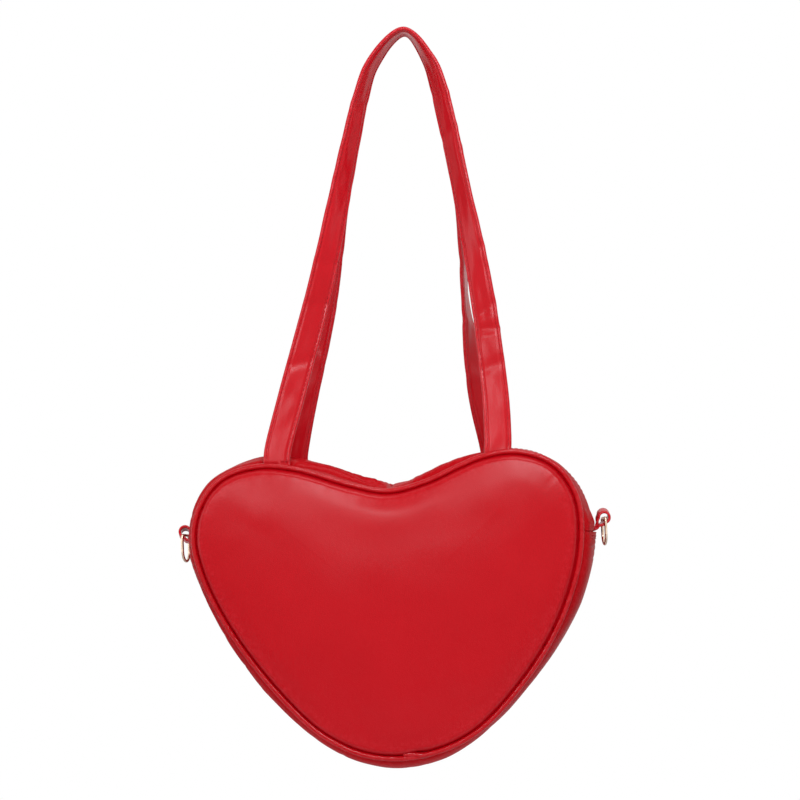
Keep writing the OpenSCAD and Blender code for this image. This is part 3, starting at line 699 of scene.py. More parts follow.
def panel_rings(crown, rim, edge_rows, field_rows, dent=0.0):
    """Rings of (x, height, z) from the seam to the middle, with each ring's way in."""
    rings, depths = [], []
    place, away = on_heart(ring_s)
    place = place + away * drift(ring_s)[:, None]
    for d in RISE_W * np.linspace(0, 1, edge_rows) ** 2.2:
        inset = rim + d + dent * near_join(ring_s) * (1 - d / RISE_W) ** 3
        rounded = sqrt(1 - max(0, 1 - max(0, d - FOOT_W) / SHOULDER_W) ** 2)
        high = crown * (SHOULDER * rounded + SLOPE * (1 - (1 - d / RISE_W) ** 3))
        rings.append(np.column_stack([place - away * inset[:, None], np.full(len(ring_s), high)]))
        depths.append(d)
    inner = rings[-1][:, :2]
    high = np.full(len(ring_s), crown * (SHOULDER + SLOPE))
    for share in np.linspace(1, 0.03, field_rows + 1)[1:]:
        rings.append(np.column_stack([panel_middle + (inner - panel_middle) * share, high]))
        depths.append(RISE_W + FIELD_W * (1 - share))
    rings, depths = np.array(rings)[..., [0, 2, 1]], np.array(depths)
    dome = np.exp(-(rings[..., 0] / 95) ** 2 - ((rings[..., 2] - 105) / 70) ** 2)
    rings[..., 1] += DOME * crown * (dome - 0.15) * ease(depths, 0, 16)[:, None]
    return rings, depths


# %% Blow up the padding
PAD_VOXEL, SEWN_BELOW, PAD_LIMIT = 0.005, 0.0018, 0.006    # metres
PAD_FRAMES = 20


def blown_padding():
    """Simulates a cushion of the heart's outline and returns its surface as a tree."""
    rings, _ = panel_rings(CROWN - 4.0, RIM + 1.5, 8, 8)
    mesh = bpy.data.meshes.new("padding")
    mesh.from_pydata((rings.reshape(-1, 3) / 1000).tolist(), [], grid_faces(*rings.shape[:2]))
    pad = bpy.data.objects.new("padding", mesh)
    scene.collection.objects.link(pad)
    bpy.context.view_layer.objects.active = pad
    pad.select_set(True)
    mesh.remesh_voxel_size = PAD_VOXEL
    bpy.ops.object.voxel_remesh()
    start = np.array([v.co for v in pad.data.vertices])
    pinned = pad.vertex_groups.new(name="sewn")
    pinned.add([int(i) for i in np.nonzero(start[:, 1] < SEWN_BELOW)[0]], 1.0, "REPLACE")
    cushion = pad.modifiers.new("cloth", "CLOTH")
    cushion.settings.quality = 4
    cushion.settings.use_pressure = True
    cushion.settings.uniform_pressure_force = 4.0
    cushion.settings.vertex_group_mass = "sewn"
    cushion.settings.effector_weights.gravity = 0.0
    cushion.point_cache.frame_start, cushion.point_cache.frame_end = 1, PAD_FRAMES
    for step in range(1, PAD_FRAMES + 1):
        scene.frame_set(step)
    after = pad.evaluated_get(bpy.context.evaluated_depsgraph_get())
    moved = np.array([v.co for v in after.to_mesh().vertices]) - start
    far = np.linalg.norm(moved, axis=1, keepdims=True)
    swollen = start + moved * np.minimum(1, PAD_LIMIT / np.maximum(far, 1e-9))
    surface = BVHTree.FromPolygons(swollen.tolist(), [list(p.vertices) for p in pad.data.polygons])
    print("padding moved up to", round(float(far.max()) * 1000, 1), "mm")
    bpy.data.objects.remove(pad)
    scene.frame_set(1)
    return surface


padding = blown_padding()

# %% [markdown]
# The cushion's heights are read under each ring and smoothed. They take over from
# the drawn profile in the middle of the panel only, stretched so that both agree
# where they meet.

# %% Lay the leather over it
def simulated_heights(rings, depths, heights):
    found = np.array([[(padding.ray_cast(Vector((x / 1000, 0.05, z / 1000)),
                        Vector((0, -1, 0)))[0] or Vector((0, h / 1000, 0))).y * 1000
                       for x, h, z in ring] for ring in rings])
    for _ in range(12):
        found[1:-1] = (found[:-2] + found[2:] + 2 * found[1:-1]) / 4
        found = (np.roll(found, 1, 1) + np.roll(found, -1, 1) + 2 * found) / 4
    meet = int(np.argmin(np.abs(depths - 10)))
    low_to, low_from = heights[meet].mean(), found[meet].mean()
    gain = (heights[-1].mean() - low_to) / (found[-1].mean() - low_from)
    print("simulated rise", round(found[-1].mean() - low_from, 2), "mm, gain", round(gain, 2))
    return low_to + (found - low_from) * gain


def padded_panel(name, side, seed, nodes):
    rings, depths = panel_rings(CROWN, RIM, 26, 16, dent=1.0)
    deep = depths[:, None]
    heights = rings[..., 1].copy()
    if padding:
        share = ease(deep, 12, 34) * 0.6
        heights = heights * (1 - share) + simulated_heights(rings, depths, heights) * share
    lumps = cloud(rings, 55.0, seed) * 0.8 + cloud(rings, 22.0, seed + 3) * 0.25
    heights = heights + lumps * ease(deep, 2, 20)
    heights += puckers(ring_s[None, :], deep, seed, 13, 0.35, 9)
    heights += 0.7 * hill(rings[..., 2] - 70, 50) * ease(deep, 4, 40)    # the filling sags
    points = np.stack([rings[..., 0], -side * (SEAM_LEVEL + heights), rings[..., 2]], -1)
    made = tube(name, points, panel_leather, ring_s, deep, hill(deep - 5, 4), stands_for=nodes)
    return made


front_cover = padded_panel("front_cover", 1, 11, ("front_panel", "front_foam"))
padded_panel("back_cover", -1, 23, ("back_panel", "back_foam"))
print("panels:", len(front_cover.data.vertices), "points each")

# %% [markdown]
# ## Piping
# Piping is a cord wrapped in a strip of leather. It runs once round each face, and
# its two ends pass each other at the bottom, where one is tucked over the other.
# The wrapping is never quite even, so the radius and the line wander a little. A
# tube of rings along the seam is the plain way to build it, with a mesh dense
# enough to hold the small crossing.

# %% Piping
PIPING_Y, PIPING_R, OVERLAP = 35.6, 1.9, 20.0
PIPING_RINGS, PIPING_SIDES = 1000, 16


def cloud_along(length, size, seed):
    return cloud(np.column_stack([length, 0 * length, 0 * length]), size, seed)


def piping_piece(name, side, join, seed, nodes):
    run = np.linspace(0, 2 * HALF + OVERLAP, PIPING_RINGS)
    left_over = 2 * HALF + OVERLAP - run
    tuck_in, tuck_under = 1 - ease(run, 3, 17), 1 - ease(left_over, 1, 15)
    out = -2.5 * tuck_in + 0.35 * tuck_under + 0.10 * cloud_along(run, 23, seed)
    forward = PIPING_Y + 1.0 * tuck_in - 2.1 * tuck_under
    radius = PIPING_R * (1 + 0.035 * cloud_along(run, 9, seed + 5)
                         + 0.03 * cloud_along(run, 31, seed))
    radius *= np.clip(np.minimum(run, left_over) / 1.5, 0, 1) ** 0.5 * 0.999 + 0.001
    angle = np.linspace(0, tau, PIPING_SIDES, endpoint=False)
    from_seam = 6 * np.abs(np.sin((angle - 1.2) / 2))
    wide = radius[:, None] + puckers(run[:, None], from_seam, seed, 8, 0.12, 5)
    points = band(join - OVERLAP / 2 + run, out[:, None] + wide * np.cos(angle),
                  side * (forward[:, None] + wide * np.sin(angle)))
    return tube(name, points, piping_leather, run[:, None], angle * PIPING_R,
                np.clip(np.sin(angle + 0.6), 0, 1) ** 3, slot="piping_leather", stands_for=nodes)


piping_piece("front_trim", 1, JOIN_AT, 31, ("front_piping", "front_piping_cord"))
piping_piece("back_trim", -1, -9.0, 37, ("back_piping", "back_piping_cord"))
print("piping joins at", JOIN_AT, "mm from the tip in front")

# %% [markdown]
# ## Bottom gusset
# One long strip of leather joins the two faces from ring to ring. It swells between
# its two seams, because it is cut wider than the gap it fills. Where the seam turns
# sharply it has more leather than it needs, so it puckers there. Like every band it
# is drawn as a closed section, with an outer side and an inner one, and a helper
# turns such a section into a piece.

# %% Bands as pieces
def doubled(there, back):
    """A closed section: one side of it in order, and the other in reverse."""
    return np.concatenate([there, back[:, ::-1]], 1)


def band_piece(name, side, s, out, forward, material, node, wear=None, slot="red_leather"):
    """A closed section that runs along the seam, as a piece of the bag."""
    step = np.hypot(np.diff(out, axis=1), np.diff(forward, axis=1))
    across = np.concatenate([np.zeros((len(step), 1)), np.cumsum(step, 1)], 1)
    return tube(name, band(s, out, side * forward), material, s[:, None], across, wear,
                slot=slot, stands_for=(node,))


# %% [markdown]
# The section is a rounded box that runs along the seam, and creases are pressed
# into it by moving points towards the inside. Its fullness follows the photograph.

# %% Gusset
GUSSET_Y, GUSSET_SKIN = 33.4, 1.4        # half its width, its thickness
SWELL_AT = (-206, -190, -160, -130, -105, -85, -60, -35, -10, 15, 30, 45, 64, 90, 115, 135,
            150, 165, 185, 206)
SWELL = (7.2, 6.6, 7.5, 8.2, 8.7, 8.0, 6.9, 7.7, 8.2, 7.8, 6.9, 5.3, 3.7, 4.3, 4.8, 5.8,
         7.0, 8.1, 8.8, 9.3)
END_FOLDS = ((4.5, 0.05, 0.35), (8.0, -0.08, 0.45), (11.8, 0.10, 0.35),
             (16.5, -0.05, 0.3))         # way in from the end, lean, depth


def boxy(v):
    """Turns a sine into the fuller side of a rounded box."""
    return np.sign(v) * np.abs(v) ** 0.7


def gusset_rows(s, deep, columns):
    t = np.linspace(0, pi, columns)
    full = np.interp(s, SWELL_AT, SWELL) * (1 - 0.12 * hill(END_S - np.abs(s), 3.0))
    out = -1.6 + (full[:, None] - deep + 1.6) * boxy(np.sin(t))[None, :]
    return t, out, (GUSSET_Y - deep) * boxy(np.cos(t))[None, :] + 0 * out


def gusset_skin():
    s = np.linspace(-END_S, END_S, 560)
    t, out, forward = gusset_rows(s, 0.0, 45)
    edge, bulge, down = GUSSET_Y - np.abs(forward), np.sin(t)[None, :], s[:, None]
    press = puckers(down, edge + 1.0, 41, 6.5, 0.6, 8)
    press += puckers(down, edge + 3.0, 43, 17, 0.7, 18)
    press *= 1 - 0.65 * ease(down, 110, 150)
    press += 0.45 * cloud(band(s, out, forward), 26, 2) * bulge
    low_left = ease(s, -205, -180) * (1 - ease(s, -80, -50))
    fold_line = 26.5 + 1.5 * np.sin(s / 14.0) + 2.0 * np.sin(s / 37.0)
    press -= 1.1 * low_left[:, None] * hill(forward - fold_line[:, None], 1.4)
    for back_from_end, lean, deep in END_FOLDS:
        for sign, share in ((-1, 0.35), (1, 1.0)):
            off = sign * down - (END_S - back_from_end) - lean * forward
            press -= share * deep * hill(off, 0.9) * bulge ** 0.5
    return s, t, out + press * bulge ** 0.35, forward


gusset_line = s, t, out, forward = gusset_skin()
all_out = doubled(out, out - GUSSET_SKIN * np.sin(t))
all_forward = doubled(forward, forward - GUSSET_SKIN * np.cos(t))
gusset = band_piece("bottom_side", 1, s, all_out, all_forward, side_leather, "bottom_gusset",
                    hill(GUSSET_Y - np.abs(all_forward) - 4, 3.0))
print("gusset:", len(gusset.data.vertices), "points")

# %% [markdown]
# ## Strips beside the zip
# On top two padded strips run from ring to ring over the lobes, one in front of the
# zip and one behind it. Each is folded under beside the zip and stitched there. Its
# section runs up from the seam, over a ridge and down to the fold, and a list of
# heights says how full it is from one ring to the other.

# %% Strip section
FRONT_END_S, BACK_END_S = at_lobe(96.6), at_lobe(102.6)    # where the straps go in
EDGE_LOW, EDGE_HIGH, RIDGE_Y, FOLD_Y = 1.25, 3.0, 20, 7.6
STRIP_SKIN, STRIP_ROWS = 1.3, 20         # its thickness, the points up to the ridge
STITCH_POINT = 33                        # the point of the section that the stitches follow
FULL_AT = (-174, -165, -157, -147, -129, -112, -93, -75, -63, -54, -39, -27, -20, -14, -8, -2,
           3, 9, 15, 21, 33, 45, 57, 69, 87, 99, 117, 129, 143, 158, 174)
FULL = (7.4, 6.6, 4.0, 3.4, 3.1, 2.5, 2.1, 3.0, 4.5, 6.1, 7.3, 6.9, 6.1, 4.3, 4.2, 3.1,
        5.3, 6.8, 7.0, 8.0, 8.7, 9.2, 8.1, 6.5, 5.4, 4.8, 4.7, 5.4, 5.3, 4.9, 4.9)


def strip_section(s, side):
    """Up from the seam, over the ridge, down towards the zip and round the fold."""
    strap_s = FRONT_END_S if side == 1 else BACK_END_S
    near_strap = sum(1 - ease(np.abs(s - at), 9.8, 14) for at in (strap_s, 2 * HALF - strap_s))
    start_y = 33.3 - 3.1 * np.clip(near_strap, 0, 1)[:, None]
    top = np.interp(s - HALF, FULL_AT, FULL)
    if side == -1:
        top = np.clip(top, 2.6, 5.0) - 0.2
    top = (top * (1 - 0.12 * hill(np.minimum(s - s[0], s[-1] - s), 3.0)))[:, None]
    t = np.linspace(0, pi / 2, STRIP_ROWS)
    f = np.linspace(0, 1, 19)[1:]
    turn = np.radians(np.linspace(90, -90, 7)[1:])
    out = np.concatenate([
        -1.9 + (top + 1.9) * boxy(np.sin(t)),
        EDGE_HIGH + (top - EDGE_HIGH) * (1 + np.cos(pi * f)) / 2,
        (EDGE_HIGH + EDGE_LOW) / 2 + (EDGE_HIGH - EDGE_LOW) / 2 * np.sin(turn) + 0 * top], 1)
    forward = np.concatenate([
        RIDGE_Y + (start_y - RIDGE_Y) * boxy(np.cos(t)),
        RIDGE_Y - (RIDGE_Y - FOLD_Y) * f + 0 * top, FOLD_Y - 0.6 * np.cos(turn) + 0 * top], 1)
    return out, forward, np.clip(start_y - forward, 0, None)


print("straps go in at", round(FRONT_END_S), "and", round(BACK_END_S), "mm")

# %% [markdown]
# In the hollow the strip is bent the short way, so it gathers into folds, and the
# photograph shows a fuller fold to the left of the middle with a notch beside it.
# Small puckers start at the seam and at the fold.

# %% Strips
def strip_skin(side, seed):
    s = np.linspace(END_S + 0.2, 2 * HALF - END_S - 0.2, 520)
    out, forward, seam = strip_section(s, side)
    down, fold = s[:, None], np.clip(forward - 7.0, 0, None)
    loose = ease(seam, 0, 4) * ease(fold, 0, 2.5)
    press = puckers(down, seam + 0.5, seed, 8, 0.45, 8) * ease(seam, 0, 2)
    press += puckers(down, fold, seed + 1, 6, 0.3, 5) * ease(fold, 0, 2)
    press += puckers(down, 0 * seam + 2, seed + 2, 7.5, 0.5, 99) * hill(down - HALF, 26.0) * loose
    press += 0.35 * cloud(band(s, out, forward), 20, seed) * loose
    if side == 1:
        past = s - HALF
        beside = ease(past, 12, 22) * (1 - ease(past, 50, 60))
        groove = 25.5 + 1.6 * np.sin(past / 11.0)
        press -= 1.3 * beside[:, None] * hill(forward - groove[:, None], 1.5)
        past = past[:, None]
        press -= 1.9 * hill(past - 13, 8) * hill(forward - 29.3, 1.6)
        press += 1.2 * hill(past - 11, 8) * hill(forward - 24.5, 2.8)
        press -= 1.6 * hill(past + 1.0, 1.5) * loose
    return s, out + press, forward


def strip_piece(name, side, seed, node):
    s, out, forward = strip_skin(side, seed)
    deep = np.gradient(out, axis=1), np.gradient(forward, axis=1)
    size = np.hypot(*deep) + 1e-9
    all_out = doubled(out, out - STRIP_SKIN * np.abs(deep[1]) / size)
    all_y = doubled(forward, forward - STRIP_SKIN * np.clip(deep[0] / size, -0.6, 1))
    band_piece(name, side, s, all_out, all_y, side_leather, node,
               hill(all_y - 8, 1.5) + hill(all_y - 29, 4.0))
    line = band(s, out, side * forward)[4:-4, STITCH_POINT]
    _, away = on_heart(s[4:-4])
    normals = np.insert(away * 0.95, 1, side * 0.3, axis=1)
    stitch_rows(name + "_stitches", [(line, normals)], rise=0.08)


strip_piece("zip_side_front", 1, 51, "top_strip_front")
strip_piece("zip_side_back", -1, 67, "top_strip_back")
print("strips: 2, with a row of stitches on each")

# %% [markdown]
# ## Zip tapes
# The teeth sit on two woven tapes. A tape is flat, with a raised bead along the
# edge that carries the teeth, so its section is a thin band with that bead. Past
# the last teeth the two tapes are drawn together.

# %% Tapes
TAPE_Y = np.array([1.6, 1.75, 2.1, 2.6, 3.0, 3.6, 5, 7, 9, 11, 12.9])
TAPE_TOP = np.array([0.9, 1.12, 1.2, 1.12, 0.98, 0.95, 0.95, 0.95, 0.95, 0.95, 0.95])
TAPE_UNDER, TAPE_ROWS = 0.5, 420


def tape_piece(name, side, node):
    s = np.linspace(at_lobe(-1.4), 2 * HALF - at_lobe(-1.4), TAPE_ROWS)
    from_end = np.minimum(s - s[0], s[-1] - s)[:, None]
    y = TAPE_Y - 1.5 * (1 - ease(from_end, 14.0, 17.5)) * (1 - ease(TAPE_Y, 1.6, 7.0))
    out = doubled(TAPE_TOP + 0 * y, TAPE_UNDER + 0 * y)
    band_piece(name, side, s, out, doubled(y, y), tape_cloth, node, slot="zip_tape")


tape_piece("zip_tape_woven_front", 1, "zipper_tape_front")
tape_piece("zip_tape_woven_back", -1, "zipper_tape_back")
print("tapes:", TAPE_ROWS, "rows each")

# %% [markdown]
# ## Lining
# The lining can only be seen with the bag cut open, but it is there: two flat
# hearts behind the padding, one long strip inside the gusset and two beside the zip.
# They hang a little slack, so slow noise moves them towards the inside.

# %% Lining
LINING_RIM, LINING_FRONT, LINING_BACK = 7.4, 36.0, 35.4
LINING_IN = (0, 3, 8, 15, 24)            # ways in from its edge


def flat_lining(name, side, seed, node):
    place, away = on_heart(ring_s)
    edge = [place - away * (LINING_RIM + d) for d in LINING_IN]
    inwards = np.linspace(8, 78, 14)
    field = [panel_middle + (edge[-1] - panel_middle) * (1 - d / FIELD_W) for d in inwards]
    rings = np.array(edge + field)
    depths = np.concatenate([LINING_IN, LINING_IN[-1] + inwards])
    x, z = rings[..., 0], rings[..., 1]
    slack = (0.5 + 0.5 * cloud(np.stack([x, 0 * x, z], -1), 35, seed)) \
        * ease(depths, 0, 15)[:, None]
    front = np.stack([x, -side * (LINING_FRONT - 0.15 * slack), z], -1)
    behind = np.stack([x, -side * (LINING_BACK - 1.2 * slack), z], -1)
    m, n = x.shape
    faces = grid_faces(m, n, caps=False) + [list(range((m - 1) * n, m * n))]
    second = [[v + m * n for v in f] for f in faces]
    rim = [[j, (j + 1) % n, m * n + (j + 1) % n, m * n + j] for j in range(n)]
    make_piece(name, np.concatenate([front.reshape(-1, 3), behind.reshape(-1, 3)]),
               faces + second + rim, lining_cloth, np.concatenate([rings.reshape(-1, 2)] * 2),
               slot="lining", stands_for=(node,))


def band_lining(name, s, out, forward, node, side=1):
    slack = 0.4 + 0.4 * cloud(band(s, out, forward), 30, 9)
    out = out - slack * 0.5
    band_piece(name, side, s, doubled(out, out - 0.5), doubled(forward, forward), lining_cloth,
               node, slot="lining")


flat_lining("front_lining_cloth", 1, 5, "front_lining")
flat_lining("back_lining_cloth", -1, 8, "back_lining")
s = np.linspace(-END_S + 0.5, END_S - 0.5, 260)
band_lining("gusset_lining_cloth", s, *gusset_rows(s, 2.1, 31)[1:], "bottom_gusset_lining")
s = np.linspace(END_S + 0.5, 2 * HALF - END_S - 0.5, 260)
y = np.linspace(6.0, 30.0, 14)
out = (0.2 - 4.2 * ease(y, 13, 30))[None, :] + np.zeros((len(s), 1))
for side, node in ((1, "top_lining_front"), (-1, "top_lining_back")):
    band_lining(node + "_cloth", s, out, y[None, :] + 0 * out, node, side)
print("lining pieces made")

# %% [markdown]
# ## Straps
# Each strap is a long folded band of leather, sewn down both edges. Its path is
# given as a few points from the seam on one lobe up to the hook and down to the
# other, with how far its face has turned at each, and a smooth curve runs through
# them. On the way up the face turns from front to side, because both straps share
# one narrow hook.

# %% Strap path
STRAP_X, STRAP_RISE, STRAP_W, STRAP_T, BASE_Z = 76.0, 297.0, 18.5, 2.8, 205.0
SEAM_Y, HOOK_Y = 32.0, 9.85              # how far from the middle, at the seam and on top
FRONT_STRAP = {
    "x": (-1, -0.985, -0.882, -0.69, -0.53, -0.378, -0.246, 0, 0.222, 0.364, 0.602, 0.797, 0.948,
          0.997, 1),
    "z": (0, 0.04, 0.16, 0.38, 0.61, 0.84, 0.94, 1, 0.935, 0.84, 0.6, 0.38, 0.16, 0.04, 0),
    "turn": (0, 0, 0.08, 0.28, 0.49, 0.7, 0.83, 0.93, 0.72, 0.56, 0.5, 0.28, 0.1, 0, 0),
    "lift": 0.0}
BACK_STRAP = {
    "x": (-0.93, -0.925, -0.845, -0.676, -0.566, -0.413, -0.285, 0, 0.217, 0.352, 0.57, 0.612,
          0.772, 0.895, 0.93),
    "z": FRONT_STRAP["z"],
    "turn": (0, 0, 0.08, 0.3, 0.52, 0.7, 0.78, 0.95, 0.72, 0.62, 0.62, 0.92, 0.3, 0, 0),
    "lift": 3.0}


def smooth_line(knots, steps):
    """A curve through all the knots, with that many steps between two of them."""
    knots, rows = np.asarray(knots, float), []
    for k in range(len(knots) - 1):
        four = [knots[min(max(k + i, 0), len(knots) - 1)] for i in (-1, 0, 1, 2)]
        rows += [curve_point(*four, i / steps) for i in range(steps)]
    return np.array(rows + [knots[-1]])


def unit(rows):
    return rows / np.linalg.norm(rows, axis=1, keepdims=True)


def strap_path(shape, steps=26):
    """Points along a strap, and at each the way across it and out of its face."""
    x, z = np.array(shape["x"]), np.array(shape["z"])
    knots = np.column_stack([STRAP_X * x + HANG[0] * z, -(SEAM_Y + (HOOK_Y - SEAM_Y) * z),
                             BASE_Z + 0.15 + (STRAP_RISE - 0.15 + shape["lift"]) * z])
    line = smooth_line(knots, steps)
    turn = smooth_line(np.array(shape["turn"])[:, None] * pi / 2, steps)[:, 0]
    way = np.gradient(line, axis=0)
    way[0], way[-1] = (0, 0, 1), (0, 0, -1)
    way = unit(way)
    for end in (0, -1):
        at = 0 if end == 0 else len(line)
        line = np.insert(line, at, line[end] - np.array([0, 0, 6.0]), axis=0)
        turn = np.insert(turn, at, turn[end])
        way = np.insert(way, at, way[end], axis=0)
    wide = np.cross(way, unit(way * way[:, 1:2] - np.array([0, 1, 0])))
    w = wide * np.cos(turn)[:, None] + np.cross(way, wide) * np.sin(turn)[:, None]
    return line, w, np.cross(w, way)


print("straps rise", STRAP_RISE, "mm")

# %% [markdown]
# The section has two gently crowned faces with a shallow channel under each row of
# stitches, and round edges where the leather folds.

# %% Strap section
SEAM_X, EDGE_R = STRAP_W / 2 - 2.4, STRAP_T / 2    # the rows of stitches, the folded edge


def strap_section():
    """Places across the strap and heights, once round: a face, an edge, and again."""
    flat = np.linspace(-1, 1, 25) * (STRAP_W / 2 - 1.5)
    high = STRAP_T / 2 - 0.65 * hill(np.abs(flat) - SEAM_X, 0.75) + 0.1 * (1 - (flat / 9) ** 2)
    turn = np.radians([60, 30, 0, -30, -60])
    edge = np.column_stack([STRAP_W / 2 - EDGE_R + EDGE_R * np.cos(turn),
                            EDGE_R * np.sin(turn)])
    top = np.column_stack([flat, high])
    return np.concatenate([top, edge, -top, -edge])


print("strap section:", len(strap_section()), "points")

# %% [markdown]
# Wrinkles are pressed into both faces at chosen heights: the photograph shows a
# hard crease on the right, below which the strap catches the light, and softer
# waves on the left.

# %% Strap pieces
def strap_piece(name, side, shape, marks, seed, nodes):
    line, w, n = strap_path(shape)
    section = strap_section()
    length = steps_along(line)
    x, high = section[None, :, 0], section[None, :, 1]
    bend = np.zeros((len(line), len(section)))
    for at, lean, wide, deep in marks:
        bend -= deep * hill(length[:, None] - at - lean * x, wide)
    bend += 0.35 * cloud(np.stack([length[:, None] + 0 * x, 2.5 * x + 0 * bend, 0 * bend], -1),
                         16, seed)
    held = ease(length, 2, 12) * ease(length[-1] - length, 2, 12)
    curl = 0.5 * cloud_along(length, 60, seed + 4) * held
    offset = bend * held[:, None] + curl[:, None] * (x / 9) ** 2
    spread = 1 + 0.012 * cloud_along(length, 30, seed + 7)
    grid = line[:, None, :] + w[:, None, :] * (x * spread[:, None])[..., None] \
        + n[:, None, :] * (high + offset)[..., None]
    mirror = np.array([1, side, 1])
    grid = grid * mirror
    made = tube(name, grid, strap_leather, length[:, None], x,
                hill(STRAP_W / 2 - np.abs(x), 1.3), body=None, slot="strap_leather",
                stands_for=nodes)
    lines = []
    for face in (1, -1):
        for edge in (-1, 1):
            column = int(np.argmin(np.abs(section[:, 0] - edge * SEAM_X)
                                   + 9 * (section[:, 1] * face < 0.5)))
            lines.append((grid[3:-3, column], n[3:-3] * mirror * face))
    rows = stitch_rows(name + "_stitches", lines, rise=-0.02, body=None, slot="strap_leather")
    for piece in (made, rows):
        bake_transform(piece)
    return length[-1]


# Each mark is a place along the strap, a lean, a width and a depth.
left_waves = [(76, 0.6, 3.5, 0.5), (52, -0.3, 5.0, 0.25), (118, 0.25, 3.0, 0.4),
              (148, 0.15, 3.5, 0.45), (205, -0.1, 5.0, 0.3), (262, 0.2, 3.0, 0.3)]
right_waves = [(547, -0.1, 2.0, 1.0), (573, 0.3, 4.0, 0.5), (535, 0.5, 4.0, 0.6),
               (489, -0.2, 4.0, 0.5), (407, 0.3, 3.0, 0.5), (378, -0.2, 3.0, 0.4)]
front_marks = left_waves + right_waves
back_marks = [(at + 9, -lean, wide, deep) for at, lean, wide, deep in left_waves + right_waves[1:]]
strap_length = strap_piece("front_strap_leather", 1, FRONT_STRAP, front_marks, 71,
                           ("front_strap", "front_strap_ends"))
strap_piece("back_strap_leather", -1, BACK_STRAP, back_marks, 83,
            ("back_strap", "back_strap_ends"))
print("strap length", round(strap_length), "mm")

# %% [markdown]
# ## Side loops
# A short strip of leather is folded round each ring, sewn to itself and caught in
# the seam where gusset and zip meet. Its middle line is drawn flat, from the seam
# out, round the eye and back.

# %% Loop line
LOOP_W, LOOP_T, EYE_R, LOOP_L, LOOP_RISE = 10.0, 1.4, 3.0, 11.0, radians(58)
TWIST = tan(radians(13))
LOOP_LEG = [(-9.5, 0.72, 0), (-6, 0.72, 0), (-2.5, 0.74, 0), (1.4, 0.78, 1), (3.2, 0.85, 1),
            (4.8, 1.3, 1), (6.6, 2.5, 1)]    # out, aside, and 1 where it has turned up


def pointing(angle):
    return np.array([cos(angle), sin(angle)])


loop_angle = radians(-5) + asin((LOOP_T + 0.1) / (LOBE_R - 3.5))
root_at = lobe_c + (LOBE_R + 5.6) * pointing(loop_angle)


def loop_line():
    """Middle line of the folded strip in the plane of the heart, from seam to seam."""
    e1 = pointing(loop_angle)
    e2 = np.array([-e1[1], e1[0]])
    u, v = (cos(a) * e1 + sin(a) * e2 for a in (LOOP_RISE, pi / 2 + LOOP_RISE))
    upper, lower = ([root_at + (u * a + v * sign * b if flag else e1 * a + e2 * sign * b)
                     for a, b, flag in LOOP_LEG] for sign in (1, -1))
    mid = EYE_R + LOOP_T / 2
    eye = [root_at + u * (LOOP_L + mid * cos(g)) + v * mid * sin(g)
           for g in np.radians(np.linspace(125, -125, 13))]
    return smooth_line(np.array(upper + eye + lower[::-1]), 5), u, v


print("eye of a loop:", 2 * EYE_R, "mm wide")

# %% [markdown]
# The strip's section is swept along that line, and its free end hangs a little
# askew. The cut edges are rounded, as painted edges are.

# %% Loops
ACROSS = np.array([-1, -0.97, -0.9, -0.7, -0.35, 0, 0.35, 0.7, 0.9, 0.97, 1]) * LOOP_W / 2
THIN = np.array([0.25, 0.36, 0.47, 0.5, 0.5, 0.5, 0.5, 0.5, 0.47, 0.36, 0.25]) * LOOP_T * 1.3


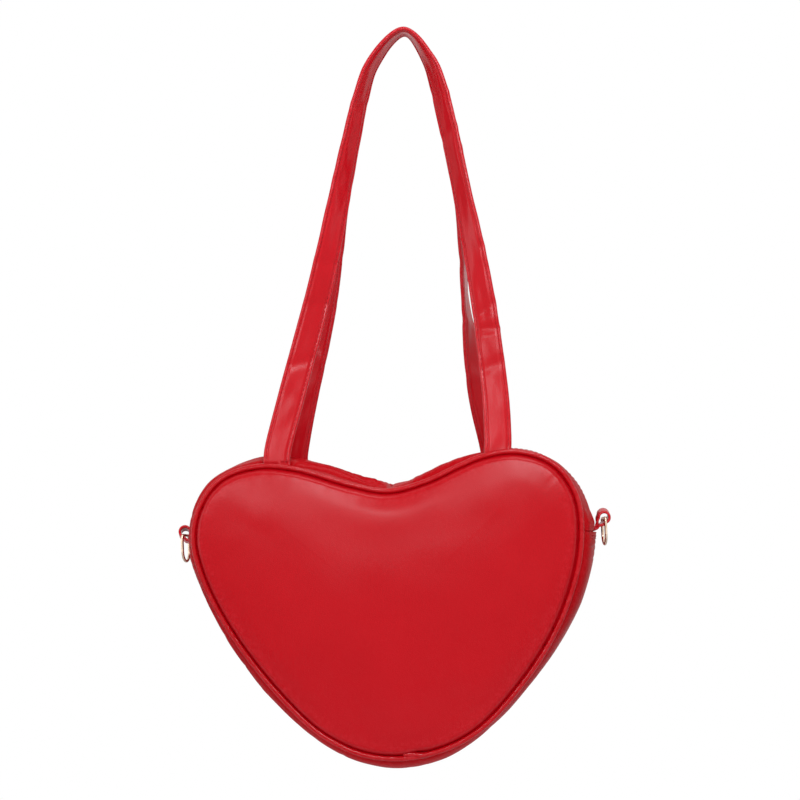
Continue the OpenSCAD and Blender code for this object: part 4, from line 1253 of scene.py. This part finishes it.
def loop_piece(name, mirror, node, seed):
    line, u, v = loop_line()
    way = unit(np.gradient(line, axis=0))
    n = np.column_stack([-way[:, 1], way[:, 0]])
    y, high = np.concatenate([ACROSS, ACROSS[::-1]]), np.concatenate([THIN, -THIN[::-1]])
    wavy = 0.12 * cloud(np.stack([line[:, None, 0] + 0 * y, y + 0 * line[:, :1],
                                  line[:, None, 1] + 0 * y], -1), 6, seed)
    free = ease((line - root_at) @ u, 1.0, 8.0)[:, None]
    sideways = v * TWIST + u * TWIST * 0.7
    flat = line[:, None, :] + n[:, None, :] * high[:, None] \
        + sideways * (y * free * mirror)[..., None]
    points = np.stack([mirror * flat[..., 0], y + wavy, flat[..., 1]], -1)
    made = tube(name, points, strap_leather, steps_along(line)[:, None], y,
                np.abs(y) > LOOP_W * 0.44, stands_for=(node,))
    rows = []
    for face in (1, -1):
        base = root_at + u * 3.0 + v * face * (0.85 + LOOP_T * 0.5)
        row = np.array([[mirror * base[0], c, base[1]] for c in np.linspace(-4.4, 4.4, 9)])
        rows.append((row, np.tile([mirror * v[0] * face, 0, v[1] * face], (9, 1))))
    stitch_rows(name + "_stitches", rows, stitch=1.9, pitch=2.5, thick=0.55, rise=0.05)
    return made


loop_piece("right_ring_loop", 1, "right_loop", 3)
left_loop = loop_piece("left_ring_loop", -1, "left_loop", 6)
print("loops:", len(left_loop.data.vertices), "points each")

# %% [markdown]
# ## Stitched ends of the gusset
# Beside each loop the gusset is folded in and sewn down across its width. Two rows
# of stitches show there, and stop short of the loop, where the ring swings.

# %% End stitches
s, t, out, forward = gusset_line
lines = []
for sign in (1, -1):
    for back_from_end in (2.2, 4.0):
        row = int(np.argmin(np.abs(sign * s - (END_S - back_from_end))))
        across = band(s[row:row + 1], out[row:row + 1], forward[row:row + 1])[0]
        _, away = on_heart(s[row:row + 1])
        tilt = np.column_stack([away[0, 0] * np.sin(t), -np.cos(t), away[0, 1] * np.sin(t)])
        for half in (1, -1):
            keep = (half * forward[row] < 29) & (half * forward[row] > 8)
            lines.append((across[keep], tilt[keep]))
stitch_rows("gusset_end_stitches", lines, stitch=2.3, pitch=3.0, thick=0.6, rise=0.1)
print("rows of end stitches:", len(lines))

# %% [markdown]
# ## Metal parts
# The teeth, stops, slider, pull and rings come from the model as they are, because
# their shapes are exact. Sharp metal edges never look real, so each part but the rings
# gets a small bevel, which rounds the edge without moving the part, and each gets its plating.

# %% Metal parts
finishes = {
    "zipper_teeth_front": (tooth_gold, 0.25), "zipper_teeth_back": (tooth_gold, 0.25),
    "zipper_stops": (tooth_gold, 0.2), "zipper_slider": (pale_gold, 0.18),
    "zipper_slider_base": (pale_gold, 0.2), "zipper_pull": (pale_gold, 0.3),
    "right_ring": (pale_gold, 0), "left_ring": (pale_gold, 0)}
for name, (metal, edge) in finishes.items():
    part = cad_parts[name]
    part.data.materials.clear()
    part.data.materials.append(metal)
    if edge:
        rounding = part.modifiers.new("rounded_edges", "BEVEL")
        rounding.width, rounding.segments, rounding.limit_method = edge / 1000, 2, "ANGLE"
        rounding.angle_limit = radians(35)
        rounding.harden_normals = True
print("metal parts:", len(finishes))
